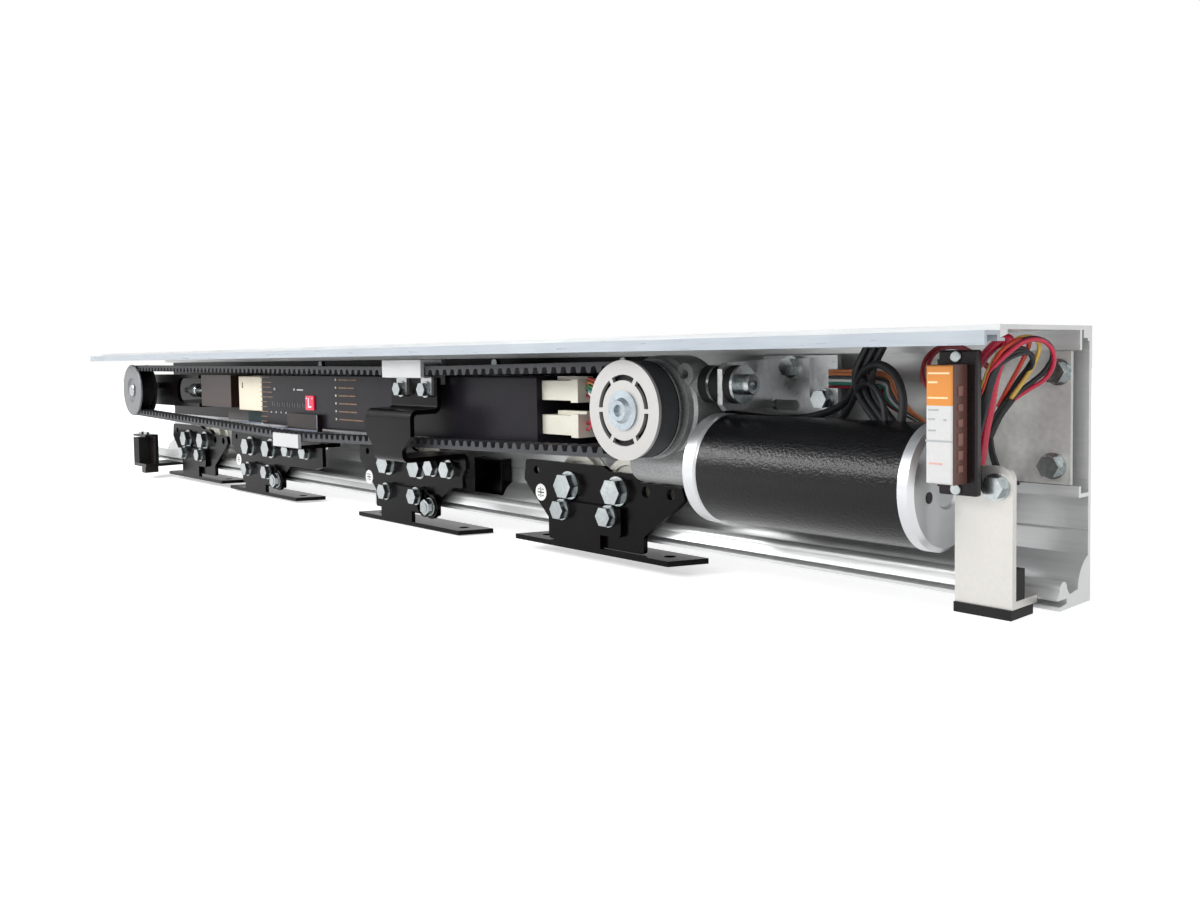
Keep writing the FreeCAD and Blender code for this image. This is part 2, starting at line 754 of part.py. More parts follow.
add_pocket(module, "XZ", control_front - 4, 6,
           [slot_loop(module_left + 8, bottom + module_top - 9, bottom + module_top - 7, 1.6)],
           reverse=True)
node("plug_module", module)
plug_front = control_front - 4
plugs = []
for label, low in (("upper", upper_connector_height), ("lower", lower_connector_height)):
    shell = box(label + "_plug", control_right, plug_front, bottom + low,
                connector_length - 6, connector_depth, connector_height)
    collar = box(label + "_collar", control_right + connector_length - 6, plug_front + 1.5,
                 bottom + low - 1, 6, connector_depth + 1.5, connector_height + 2)
    latch = box(label + "_latch", control_right + 8, plug_front - 5,
                bottom + low + connector_height, connector_length - 8, 5, 2.4)
    plugs.append(fuse(label + "_plug_shell", shell, collar, latch))
node("cable_plugs", group("cable_plugs", plugs))

# Terminal module on its foot
base_left = terminal_x - 1
base_width = terminal_width + 2
base_low = bottom + terminal_bottom - 2
terminal_foot = fuse(
    "terminal_foot_shape",
    box("terminal_head", base_left, terminal_back, base_low, base_width,
        terminal_back - terminal_base_back, terminal_top - terminal_bottom + 4),
    box("terminal_stem", base_left + 1, terminal_base_back, base_low, base_width - 2,
        terminal_base_back - stop_front, 8),
)
node("terminal_foot", terminal_foot)
terminal = padded("terminal_block", "XZ", terminal_back, terminal_front - terminal_back, [
    rectangle(terminal_x, bottom + terminal_bottom, terminal_x + terminal_width,
              bottom + terminal_top)])
round_edges(terminal, 1.2, lambda edge: edge.BoundBox.YMax < -70)
node("terminal_block", terminal)

# Tensioning gear of the idler: fixed block, sliding bracket and screw
idler_axle_radius = size("idler_axle_radius", 4)
idler_block_left = size("idler_block_left", -297)
idler_block_right = size("idler_block_right", -231)
idler_block_front = size("idler_block_front", 50)
idler_arm_right = size("idler_arm_right", -303)
idler_arm_front = size("idler_arm_front", 50)
idler_arm_height = size("idler_arm_height", 30)
arm_left = idler_x - 13
arm_low = pulley_z - idler_arm_height / 2
arm_high = pulley_z + idler_arm_height / 2
arm = padded("idler_bracket", "YZ", arm_left, idler_arm_right - arm_left, [[
    (-1 * plate_front, arm_low),
    (-1 * idler_arm_front, arm_low),
    (-1 * idler_arm_front, arm_high),
    (-1 * plate_front, arm_high),
    (-1 * plate_front, arm_high - bracket_thickness),
    (bracket_thickness - idler_arm_front, arm_high - bracket_thickness),
    (bracket_thickness - idler_arm_front, arm_low + bracket_thickness),
    (-1 * plate_front, arm_low + bracket_thickness),
]])
window_radius = idler_arm_height / 2 - bracket_thickness - 0.5
add_pocket(arm, "XZ", idler_arm_front - bracket_thickness, bracket_thickness, [[
    (idler_arm_right + 1, pulley_z - window_radius),
    (idler_arm_right + 1, pulley_z + window_radius),
    (idler_arm_right - 42, pulley_z + window_radius, window_radius),
    (idler_arm_right - 42, pulley_z - window_radius),
]], [(idler_x, pulley_z, idler_axle_radius)], reverse=True)
node("idler_bracket", arm)
block = padded("idler_block", "XZ", plate_front, idler_block_front - plate_front, [
    rectangle(idler_block_left, bottom + 62, idler_block_right, bottom + 90.4)])
add_pad(block, "XZ", plate_front, 12, [
    rectangle(idler_block_left - 5, bottom + 48, idler_block_right, bottom + 63)])
node("idler_block", block)
tension_front = size("tension_front", 40)
stud_left = idler_arm_right - 54
stud = turned("tension_stud", "x", stud_left, tension_front, pulley_z, [
    (0, 0),
    (3, 0),
    (3, 15),
    (5, 15),
    (5, 18),
    (6.4, 18.5),
    (6.4, 32),
    (5.6, 33),
    (3, 33),
    (3, idler_block_left - stud_left),
    (0, idler_block_left - stud_left),
])
node("tension_screw", stud)


# Toothed belt: a closed loop that dips to the two leaf clamps

def tangent_point(centre, radius, point, sign):
    """Where the tangent from a point meets a circle, on the upper (+1) or lower (-1) side."""
    away = point - centre
    turn = math.acos(radius / away.Length) * math.copysign(1, -sign * away.x)
    direction = FreeCAD.Vector(away).normalize()
    turned_way = FreeCAD.Rotation(FreeCAD.Vector(0, 0, 1), -math.degrees(turn))
    return centre + turned_way.multVec(direction) * radius


def loop_track(radius):
    """The belt's run in X and Z at one layer: lists of straight spans and pulley arcs."""
    shift = radius - number(belt_back_radius)
    drive = FreeCAD.Vector(number(drive_x), number(pulley_z), 0)
    idler = FreeCAD.Vector(number(idler_x), number(pulley_z), 0)
    top = number(bottom + upper_clamp_height) + shift
    low = number(bottom + lower_clamp_height) - shift
    flat = number(clamp_flat) / 2
    up_left = FreeCAD.Vector(number(upper_clamp_x) - flat, top, 0)
    up_right = FreeCAD.Vector(number(upper_clamp_x) + flat, top, 0)
    low_left = FreeCAD.Vector(number(lower_clamp_x) - flat, low, 0)
    low_right = FreeCAD.Vector(number(lower_clamp_x) + flat, low, 0)
    drive_low = tangent_point(drive, radius, low_right, -1)
    drive_top = tangent_point(drive, radius, up_right, 1)
    idler_top = tangent_point(idler, radius, up_left, 1)
    idler_low = tangent_point(idler, radius, low_left, -1)
    return [
        (drive_low, drive_top, drive),
        (drive_top, up_right, None),
        (up_right, up_left, None),
        (up_left, idler_top, None),
        (idler_top, idler_low, idler),
        (idler_low, low_left, None),
        (low_left, low_right, None),
        (low_right, drive_low, None),
    ]


def swept_angle(start, end, centre):
    """The angle of an arc that runs anticlockwise."""
    first = math.atan2(start.y - centre.y, start.x - centre.x)
    last = math.atan2(end.y - centre.y, end.x - centre.x)
    return first, (last - first) % (2 * math.pi)


def upright(point, front):
    return FreeCAD.Vector(point.x, -front, point.y)


clamp_flat = size("clamp_flat", 34)
tooth_root = size("tooth_root", 5)
tooth_tip = size("tooth_tip", 2.6)
land = number(land_radius)
track = loop_track(land)
lengths = []
for start, end, centre in track:
    if centre is None:
        lengths.append((end - start).Length)
    else:
        lengths.append(swept_angle(start, end, centre)[1] * number(pitch_radius))
loop_length = sum(lengths)
tooth_count = round(loop_length / number(belt_pitch))
tooth_step = loop_length / tooth_count
first_tooth = -swept_angle(*track[0])[0] * number(pitch_radius)


def on_track(distance, lift):
    """A point at a pitch-line distance round the loop, lifted inwards from the belt's land."""
    distance %= loop_length
    for (start, end, centre), length in zip(track, lengths):
        if distance <= length:
            break
        distance -= length
    if centre is None:
        along = (end - start).normalize()
        inward = FreeCAD.Vector(-along.y, along.x, 0)
        return start + along * distance + inward * lift
    angle_here = swept_angle(start, end, centre)[0] + distance / number(pitch_radius)
    return centre + FreeCAD.Vector(math.cos(angle_here), math.sin(angle_here), 0) * (land - lift)


tooth_sides = ((-tooth_root.number / 2, 0), (-tooth_tip.number / 2, tooth_depth.number),
               (tooth_tip.number / 2, tooth_depth.number), (tooth_root.number / 2, 0))
inner_points = []
for index in range(tooth_count):
    middle = first_tooth + index * tooth_step
    inner_points += [on_track(middle + side, lift) for side, lift in tooth_sides]
rear = number(belt_rear)
inner_wire = Part.makePolygon([upright(p, rear) for p in inner_points + inner_points[:1]])
outer_edges = []
for start, end, centre in loop_track(number(belt_back_radius)):
    if centre is None:
        outer_edges.append(Part.LineSegment(upright(start, rear), upright(end, rear)).toShape())
        continue
    first, sweep = swept_angle(start, end, centre)
    halfway = first + sweep / 2
    middle = centre + FreeCAD.Vector(math.cos(halfway), math.sin(halfway), 0) * number(belt_back_radius)
    outer_edges.append(Part.Arc(upright(start, rear), upright(middle, rear), upright(end, rear)).toShape())
belt_face = Part.Face(Part.Wire(outer_edges)).cut(Part.Face(inner_wire)).Faces[0]
belt = doc.addObject("Part::Feature", "toothed_belt")
belt.Shape = belt_face.extrude(FreeCAD.Vector(0, -number(belt_width), 0))
belt.Placement = FreeCAD.Placement()
node("toothed_belt", belt)

# Drive pulley: toothed drum with a slotted front disc and a rear flange, on the output shaft
drum_front = belt_front + belt_gap
drum_back = belt_rear - belt_gap
groove_gap = size("groove_gap", 0.25)
groove_ease = size("groove_ease", 0.6)
flange_radius = size("flange_radius", 24.6)
drive = padded("drive_pulley", "XZ", drum_back, drum_front - drum_back, [],
               [(0, 0, land_radius - groove_gap / 2), (0, 0, shaft_radius + shaft_fit)])
groove_low = land_radius - tooth_depth - groove_gap
add_pocket(drive, "XZ", drum_back, drum_front - drum_back, [[
    (groove_low, -1 * tooth_tip / 2 - groove_gap - groove_ease),
    (land_radius + 1, -1 * tooth_root / 2 - 2 * groove_gap),
    (land_radius + 1, tooth_root / 2 + 2 * groove_gap),
    (groove_low, tooth_tip / 2 + groove_gap + groove_ease),
]], reverse=True)
doc.recompute()
pattern = drive.newObject("PartDesign::PolarPattern", "tooth_grooves")
pattern.Originals = [drive.Tip]
drum_sketch = drive.Group[0]
pattern.Axis = (drum_sketch, ["N_Axis"])
pattern.Angle = 360
pattern.setExpression("Occurrences", pulley_teeth.text)
drive.Tip = pattern
disc_bore = [(0, 0, shaft_radius + shaft_fit)]
add_pad(drive, "XZ", drum_front, pulley_disc_thickness, [], [(0, 0, pulley_disc_radius)] + disc_bore)
add_pad(drive, "XZ", drum_back - pulley_flange_thickness, pulley_flange_thickness, [],
        [(0, 0, flange_radius)] + disc_bore)
ring_outer = size("ring_outer", 17.8)
ring_inner = size("ring_inner", 15)
spoke_half = size("spoke_half", 1.1)


def spoke_x(radius):
    return root(radius * radius - spoke_half * spoke_half)


def slanted(radius):
    """The far corner of a slot that ends one spoke short of a sixth of a turn."""
    return (spoke_x(radius) / 2 + spoke_half * (math.sqrt(3) / 2),
            spoke_x(radius) * (math.sqrt(3) / 2) - spoke_half / 2)


add_pocket(drive, "XZ", drum_front + pulley_disc_thickness - 3, 3, [[
    (spoke_x(ring_inner), spoke_half),
    (spoke_x(ring_outer), spoke_half, ring_outer),
    slanted(ring_outer),
    slanted(ring_inner) + (-1 * ring_inner,),
]], reverse=True)
doc.recompute()
rings = drive.newObject("PartDesign::PolarPattern", "ring_slots")
rings.Originals = [drive.Tip]
rings.Axis = (drum_sketch, ["N_Axis"])
rings.Angle = 360
rings.Occurrences = 6
drive.Tip = rings
place(drive, drive_x, 0, pulley_z)
node("drive_pulley", drive)

disc_face = drum_front + pulley_disc_thickness
shaft_back = gearbox_back + 6
node("output_shaft", turned("output_shaft", "y", drive_x, shaft_back, pulley_z, [
    (0, 0),
    (shaft_radius, 0),
    (shaft_radius, disc_face - shaft_back),
    (10, disc_face - shaft_back),
    (10, disc_face - shaft_back + 1),
    (6.5, disc_face - shaft_back + 1.4),
    (5, disc_face - shaft_back + 3.6),
    (3, disc_face - shaft_back + 3.6),
    (3, disc_face - shaft_back + 1.6),
    (0, disc_face - shaft_back + 1.6),
]))

# Idler pulley on its fixed axle
idler_core = land_radius - tooth_depth - groove_gap
idler_bore = idler_axle_radius + shaft_fit
idler_back = drum_back - pulley_flange_thickness
idler_depth = disc_face - idler_back
node("idler_pulley", turned("idler_pulley", "y", idler_x, idler_back, pulley_z, [
    (idler_bore, 0),
    (flange_radius, 0),
    (flange_radius, pulley_flange_thickness),
    (idler_core, pulley_flange_thickness),
    (idler_core, idler_depth - pulley_disc_thickness),
    (pulley_disc_radius, idler_depth - pulley_disc_thickness),
    (pulley_disc_radius, idler_depth - 0.6),
    (pulley_disc_radius - 0.6, idler_depth),
    (12, idler_depth),
    (11, idler_depth - 1.4),
    (idler_bore, idler_depth - 1.4),
]))
axle_start = idler_arm_front - bracket_thickness
node("idler_axle", turned("idler_axle", "y", idler_x, axle_start, pulley_z, [
    (0, 0),
    (idler_axle_radius, 0),
    (idler_axle_radius, bracket_thickness),
    (7, bracket_thickness),
    (7, idler_back - axle_start - 0.3),
    (idler_axle_radius, idler_back - axle_start - 0.3),
    (idler_axle_radius, disc_face - axle_start - 1.2),
    (6, disc_face - axle_start - 1.2),
    (6, disc_face - axle_start),
    (5, disc_face - axle_start + 0.8),
    (0, disc_face - axle_start + 0.8),
]))

# Leaf hangers: plate, foot, two grooved rollers on bolted axles
groove_radius = bead_radius + roller_gap
bead_reach = axle_height - bead_height
bite = bead_reach - roller_radius
groove_mouth = root(groove_radius * groove_radius - bite * bite)
roller_half = roller_width / 2
roller_bore = axle_radius + roller_fit
roller_hub = size("roller_hub", 8)
roller_rim = size("roller_rim", 14)
roller_recess = size("roller_recess", 1.2)
roller_side_gap = size("roller_side_gap", 0.25)
axle_collar = size("axle_collar", 6.2)
side_bolts = [size("side_bolt_first", 42), size("side_bolt_second", 61)]
side_bolt_z = bottom + size("side_bolt_height", 28.8)
axle_head = size("axle_head", 2)
corner_step = size("corner_step", 17)

roller_profile = [
    (roller_bore, -1 * roller_half),
    (roller_hub, -1 * roller_half),
    (roller_hub + 0.4, roller_recess - roller_half),
    (roller_rim - 0.4, roller_recess - roller_half),
    (roller_rim, -1 * roller_half),
    (roller_radius, -1 * roller_half),
    (roller_radius, -1 * groove_mouth, -1 * groove_radius),
    (roller_radius, groove_mouth),
    (roller_radius, roller_half),
    (roller_rim, roller_half),
    (roller_rim - 0.4, roller_half - roller_recess),
    (roller_hub + 0.4, roller_half - roller_recess),
    (roller_hub, roller_half),
    (roller_bore, roller_half),
]


def hanger_outline(x):
    """The pressed plate seen from the front, from its centre line."""
    points = [(-62, 40.5), (8, 40.5), (14, 38), (30, 38), (38, 34), (69, 33), (71, 27), (66, 22.5),
              (40, 4), (40, -5.5), (-41, -5.5), (-41, 7), (-64, 28)]
    return [(x + right, bottom + up) for right, up in points]


def axle_profile():
    """Half the axle: rear head, journal, collar, then the washer in front of the plate."""
    back = bead_front - roller_half - roller_side_gap - hanger_plate_front
    collar_start = bead_front + roller_half + roller_side_gap - hanger_plate_front
    return [
        (0, back - axle_head),
        (axle_collar, back - axle_head),
        (axle_collar, back),
        (axle_radius, back),
        (axle_radius, collar_start),
        (axle_collar, collar_start),
        (axle_collar, -1 * hanger_plate_thickness),
        (axle_radius, -1 * hanger_plate_thickness),
        (axle_radius, 0),
        (axle_washer_radius, 0),
        (axle_washer_radius, washer_thickness),
        (0, washer_thickness),
    ]


def foot_bolt(name, x, z, seat):
    """A hexagon bolt with washer in front and a nut behind the hanger plate."""
    washer = rod(name + "_washer", "y", x, seat, z, foot_washer_radius, washer_thickness)
    head = hexagon(name + "_head", "y", x, seat + washer_thickness, z, foot_head_across,
                   foot_head_height)
    shank = rod(name + "_shank", "y", x, hanger_plate_back - 2.8, z, foot_bolt_radius,
                seat + washer_thickness - hanger_plate_back + 2.8)
    nut = hexagon(name + "_nut", "y", x, hanger_plate_back - 2.6, z, foot_head_across, 2.6)
    return fuse(name, washer, head, shank, nut)


def hanger(name, x, drop):
    """Makes one hanger and returns its axles and bolts."""
    inner = name.endswith("inner")
    shift = 0 if inner else foot_bolt_shift
    foot_shift = inner_foot_shift if inner else 0
    bolt_z = bottom + (inner_bolt_height if inner else foot_bolt_height)
    foot_bolts = [(x + shift + side * foot_bolt_spacing / 2, bolt_z) for side in (-1, 1)]
    axle_x = [x + side * axle_spacing / 2 for side in (-1, 1)]
    holes = [(each, axle_z, axle_radius + axle_hole_gap) for each in axle_x]
    holes += [spot + (foot_bolt_radius + bolt_gap,) for spot in foot_bolts]
    holes += [(x + each, side_bolt_z, foot_bolt_radius + bolt_gap) for each in side_bolts]
    holes.append((x - 52, bottom + 34.5, 2.4))
    plate = padded(name + "_plate", "XZ", hanger_plate_back, hanger_plate_thickness,
                   [hanger_outline(x)], holes)
    round_edges(plate, 2, lambda edge: runs_along(edge, "y"))
    node(name + "_plate", plate)
    flange_left = x + shift - foot_flange_width / 2
    flange_right = x + shift + foot_flange_width / 2
    flange_top = bolt_z + 5
    low = bottom - drop
    foot = padded(name + "_foot", "XZ", hanger_plate_front, foot_thickness, [[
        (flange_left, low),
        (flange_right - corner_step, low),
        (flange_right - corner_step, bolt_z - 11.5),
        (flange_right - 3, bolt_z - 11.5, 3),
        (flange_right, bolt_z - 8.5),
        (flange_right, flange_top),
        (flange_left, flange_top),
    ]])
    add_pocket(foot, "XZ", hanger_plate_front, foot_thickness, [
        slot_loop(each, height - 3.5, height + 0.8, foot_bolt_radius + bolt_gap)
        for each, height in foot_bolts], reverse=True)
    front = -1 * foot_flange_front
    back = foot_depth - foot_flange_front
    middle = x + foot_shift
    half = foot_width / 2
    add_pad(foot, "XY", low, foot_thickness, [[
        (middle - half, front),
        (middle + half - 9, front),
        (middle + half, back),
        (middle + 9 - half, back),
    ]], [(middle + side * leaf_hole_spacing / 2, back - foot_depth / 2, leaf_hole_radius)
         for side in (-1, 1)])
    node(name + "_foot", foot)
    for side, each in zip(("left", "right"), axle_x):
        roller = turned(f"{name}_{side}_roller", "y", each, bead_front, axle_z, roller_profile)
        node(f"{name}_{side}_roller", roller)
    axles = []
    for side, each in enumerate(axle_x):
        pin = turned(f"{name}_pin_{side}", "y", each, hanger_plate_front, axle_z, axle_profile())
        head = hexagon(f"{name}_pin_head_{side}", "y", each, hanger_plate_front + washer_thickness,
                       axle_z, axle_head_across, axle_head_height)
        axles.append(fuse(f"{name}_axle_{side}", pin, head))
    bolts = [foot_bolt(f"{name}_bolt_{side}", each, height, foot_flange_front)
             for side, (each, height) in enumerate(foot_bolts)]
    return axles, bolts


axles = {"left": [], "right": []}
bolts = {"left": [], "right": []}
for name, (x, drop) in hangers.items():
    leaf = name.split("_")[0]
    pins, feet = hanger(name, x, drop)
    axles[leaf] += pins
    bolts[leaf] += feet
for leaf in axles:
    node(leaf + "_leaf_axles", group(leaf + "_leaf_axles", axles[leaf]))

# Right leaf's belt clamp: bent bracket round the lower run and a clamp on the upper run
clamp_half = size("clamp_half", 23)
belt_side_gap = size("belt_side_gap", 0.3)
cover_thickness = size("cover_thickness", 2.5)
s_left = size("s_left", 65)
s_width = size("s_width", 54)
s_front = size("s_front", 86)
s_upper_front = size("s_upper_front", 66)
sheet_metal = bracket_thickness
inner_fold = size("inner_fold", 2.5)
outer_fold = inner_fold + sheet_metal
clamp_bolt_radius = size("clamp_bolt_radius", 2.5)
s_low = bottom + size("s_low_height", 37.5)
s_high = bottom + size("s_high_height", 71)
s_top = bottom + 90.5
foot_back = -1 * hanger_plate_front
foot_face = foot_back - sheet_metal
right_hanger_x = hangers["right_inner"][0]
neck_left = s_left + 9
neck_right = s_left + s_width - 10
s_bracket = padded("right_clamp_bracket", "YZ", s_left, s_width, [[
    (foot_back, s_low - 8),
    (foot_face, s_low - 8),
    (foot_face, s_low - inner_fold, inner_fold),
    (foot_face - inner_fold, s_low),
    (outer_fold - s_front, s_low, -1 * outer_fold),
    (-1 * s_front, s_low + outer_fold),
    (-1 * s_front, s_high - outer_fold, -1 * outer_fold),
    (outer_fold - s_front, s_high),
    (-1 * s_upper_front - inner_fold, s_high, inner_fold),
    (-1 * s_upper_front, s_high + inner_fold),
    (-1 * s_upper_front, s_top),
    (sheet_metal - s_upper_front, s_top),
    (sheet_metal - s_upper_front, s_high + inner_fold, -1 * outer_fold),
    (-1 * s_upper_front - inner_fold, s_high - sheet_metal),
    (outer_fold - s_front, s_high - sheet_metal, inner_fold),
    (sheet_metal - s_front, s_high - outer_fold),
    (sheet_metal - s_front, s_low + outer_fold, inner_fold),
    (outer_fold - s_front, s_low + sheet_metal),
    (foot_face - inner_fold, s_low + sheet_metal, -1 * outer_fold),
    (foot_back, s_low - inner_fold),
]])
add_pocket(s_bracket, "XZ", hanger_plate_front, s_front - hanger_plate_front + 1, [[
    (s_left - 1, s_low - 9),
    (neck_left, s_low - 9),
    (neck_left, s_low + 9),
    (s_left, s_low + 18),
    (s_left - 1, s_low + 18),
], [
    (neck_right, s_low - 9),
    (s_left + s_width + 1, s_low - 9),
    (s_left + s_width + 1, s_low + 17),
    (s_left + s_width, s_low + 17),
    (neck_right, s_low + 8),
]], reverse=True)
add_pad(s_bracket, "XZ", hanger_plate_front, sheet_metal, [[
    (right_hanger_x + 29.5, bottom + 17),
    (right_hanger_x + 75, bottom + 17),
    (right_hanger_x + 75, bottom + 25),
    (neck_right, s_low - 6),
    (neck_right, s_low - inner_fold),
    (right_hanger_x + 34, s_low - inner_fold),
    (right_hanger_x + 29.5, s_low - inner_fold - 4.5),
]])
s_bolts_x = [right_hanger_x + each for each in side_bolts]
clamp_bolts_x = [upper_clamp_x - 11, upper_clamp_x + 18]
clamp_bolt_z = bottom + 83.2
clamp_hole = clamp_bolt_radius + bolt_gap
add_pocket(s_bracket, "XZ", s_upper_front - sheet_metal, sheet_metal, [],
           [(each, clamp_bolt_z, clamp_hole) for each in clamp_bolts_x], reverse=True)
add_pocket(s_bracket, "XZ", hanger_plate_front, sheet_metal, [],
           [(each, side_bolt_z, foot_bolt_radius + bolt_gap) for each in s_bolts_x], reverse=True)
node("right_clamp_bracket", s_bracket)

grip_top = bottom + upper_clamp_height - belt_back - tooth_depth - belt_side_gap
grip_back = belt_rear - belt_side_gap
cover_back = belt_front + belt_side_gap
upper_clamp = padded("upper_belt_clamp", "YZ", upper_clamp_x - clamp_half, 2 * clamp_half, [[
    (sheet_metal - grip_back, bottom + 86),
    (sheet_metal - s_upper_front, bottom + 86),
    (sheet_metal - s_upper_front, s_top),
    (-1 * s_upper_front, s_top),
    (-1 * cover_back, s_top),
    (-1 * cover_back, grip_top),
    (-1 * grip_back, grip_top),
    (-1 * grip_back, bottom + 101.8),
    (sheet_metal - grip_back, bottom + 101.8),
]])
tabs = [rectangle(each - 6, bottom + 79.5, each + 6, bottom + 90.8) for each in clamp_bolts_x]
add_pad(upper_clamp, "XZ", s_upper_front, 2, tabs,
        [(each, clamp_bolt_z, clamp_hole) for each in clamp_bolts_x])
node("upper_belt_clamp", upper_clamp)
node("upper_clamp_cover", padded("upper_clamp_cover", "XZ", cover_back, cover_thickness, [
    rectangle(upper_clamp_x - clamp_half, bottom + 90.8, upper_clamp_x + clamp_half,
              bottom + 101.8)]))


def clamp_bolt(name, x, z, seat, depth):
    """A small hexagon bolt through a clamp plate, with its washer."""
    washer = rod(name + "_washer", "y", x, seat, z, 5.2, 1)
    head = hexagon(name + "_head", "y", x, seat + 1, z, hex_across, hex_head)
    shank = rod(name + "_shank", "y", x, seat - depth, z, clamp_bolt_radius, depth + 1)
    return fuse(name, washer, head, shank)


bolts["right"] += [clamp_bolt(f"upper_clamp_bolt_{side}", each, clamp_bolt_z, s_upper_front + 2, 7)
                   for side, each in enumerate(clamp_bolts_x)]
bolts["right"] += [foot_bolt("s_bolt_inner", s_bolts_x[0], side_bolt_z, hanger_plate_front + sheet_metal)]
bolts["right"] += [foot_bolt("s_bolt_outer", s_bolts_x[1], side_bolt_z, hanger_plate_front + sheet_metal)]

# Left leaf's belt clamp: an arm on the inner hanger and a clamp on the lower run
left_hanger_x = hangers["left_inner"][0]
arm_bolts_x = [left_hanger_x + side_bolts[1], left_hanger_x + side_bolts[1] + 31]
shelf_low = bottom + lower_clamp_height - belt_side_gap - 2 * sheet_metal
arm_right = lower_clamp_x + clamp_half - 2
clamp_arm = padded("left_clamp_arm", "XZ", hanger_plate_front, sheet_metal, [[
    (left_hanger_x + 46, bottom + 15),
    (left_hanger_x + 104, bottom + 15),
    (left_hanger_x + 117, bottom + 18),
    (left_hanger_x + 117, shelf_low),
    (left_hanger_x + 106, shelf_low + sheet_metal),
    (left_hanger_x + 46, shelf_low + sheet_metal),
]], [(each, side_bolt_z, foot_bolt_radius + bolt_gap) for each in arm_bolts_x])
add_pad(clamp_arm, "XY", shelf_low, sheet_metal, [[
    (left_hanger_x + 60, -1 * hanger_plate_front - sheet_metal),
    (left_hanger_x + 60, -50),
    (lower_clamp_x - clamp_half + 2, -1 * cover_back),
    (arm_right, -1 * cover_back),
    (arm_right, -1 * hanger_plate_front - sheet_metal - 2),
    (left_hanger_x + 106, -1 * hanger_plate_front - sheet_metal),
]])
node("left_clamp_arm", clamp_arm)
clamp_wall_top = flap_low - 0.8
lower_clamp = padded("lower_belt_clamp", "YZ", lower_clamp_x - clamp_half + 2, 2 * clamp_half - 4, [[
    (sheet_metal - grip_back, shelf_low + sheet_metal),
    (-1 * cover_back, shelf_low + sheet_metal),
    (-1 * cover_back, shelf_low + 2 * sheet_metal),
    (-1 * grip_back, shelf_low + 2 * sheet_metal),
    (-1 * grip_back, clamp_wall_top),
    (sheet_metal - grip_back, clamp_wall_top),
]])
node("lower_belt_clamp", lower_clamp)
node("lower_clamp_cover", padded("lower_clamp_cover", "XZ", cover_back, cover_thickness, [
    rectangle(lower_clamp_x - clamp_half + 2, shelf_low + 1, arm_right, bottom + 47.5)]))
bolts["left"] += [foot_bolt(f"arm_bolt_{side}", each, side_bolt_z, hanger_plate_front + sheet_metal)
                  for side, each in enumerate(arm_bolts_x)]
for leaf in bolts:
    node(leaf + "_leaf_bolts", group(leaf + "_leaf_bolts", bolts[leaf]))

# End stops on the rail
right_stop_left = terminal_x
stop_width = size("stop_width", 24)
stop_back = stop_front - bracket_thickness
stop_bolt_x = right_stop_left + 17.5
stop_bolt_z = bottom + 50
right_stop = padded("right_stop", "XZ", stop_back, bracket_thickness, [
    rectangle(right_stop_left, bottom + 3, right_stop_left + stop_width, bottom + 58)],
    [(stop_bolt_x, stop_bolt_z, hole)])
add_pad(right_stop, "XY", bottom + 3, bracket_thickness, [
    rectangle(right_stop_left, -1 * stop_front, right_stop_left + stop_width,
              -1 * rail_front - 0.3)])
round_edges(right_stop, 5, lambda edge: runs_along(edge, "y") and edge.BoundBox.ZMin > 0)
node("right_stop", right_stop)
left_stop_left = size("left_stop_left", -455)
left_stop_width = size("left_stop_width", 34)
left_stop_right = left_stop_left + left_stop_width
tray_front = size("tray_front", 60)
tray_top = bottom + size("tray_height", 29.5)
left_stop = padded("left_stop", "XZ", stop_back, bracket_thickness, [[
    (left_stop_left, bottom - 3),
    (left_stop_right, bottom - 3),
    (left_stop_right, tray_top),
    (left_stop_left, tray_top),
]])
add_pad(left_stop, "XY", bottom - 3, bracket_thickness, [
    rectangle(left_stop_left, -1 * tray_front, left_stop_right, -8)])
add_pad(left_stop, "XZ", stop_front, tray_front - stop_front, [
    rectangle(left_stop_left, tray_top - 2, left_stop_right, tray_top)])
add_pad(left_stop, "XY", bottom - 9, 6, [
    rectangle(left_stop_right - 12, -1 * tray_front, left_stop_right - 2, -1 * stop_back)])
node("left_stop", left_stop)
node("stop_rubbers", group("stop_rubbers", [
    box("right_rubber", right_stop_left, stop_back, bottom + 6, stop_width, 7, 12),
    box("right_pad", right_stop_left, stop_front + 1, bottom - 1, stop_width, 18, 4),
    box("left_rubber", left_stop_left, tray_front, bottom, 15, tray_front - stop_front, 26),
]))

# Small screws and hexagon bolts of the fixed parts
pan_heads = []
for index, x in enumerate(strip_screws_x):
    head = rod(f"pan_head_{index}", "y", x, plate_front, strip_screw_z, small_head, 1.6)
    shank = rod(f"pan_shank_{index}", "y", x, plate_back - 2, strip_screw_z, small_shank, 5)
    pan_heads.append(fuse(f"pan_screw_{index}", head, shank))
node("strip_screws", group("strip_screws", pan_heads))
fixed_bolts = []
for index, (x, z) in enumerate(end_screws):
    fixed_bolts += hex_bolt(f"end_screw_{index}", x, plate_front, z, 2, 4)
fixed_bolts += hex_bolt("angle_screw", angle_bolt[0], angle_front, angle_bolt[1], 1, 9)
fixed_bolts += hex_bolt("slotted_screw", slotted_bolt_x, slotted_front, slotted_bolt_z, 2, 6)
fixed_bolts += hex_bolt("stop_screw", stop_bolt_x, stop_front, stop_bolt_z, 1, 8)
for index, x in enumerate((left_stop_left + 9, left_stop_left + 24)):
    fixed_bolts.append(rod(f"tray_screw_{index}", "z", x, 55, tray_top, 2.6, 2.4))
node("fixed_bolts", group("fixed_bolts", fixed_bolts))


# Wires held between housings: straight runs joined by tangent arcs

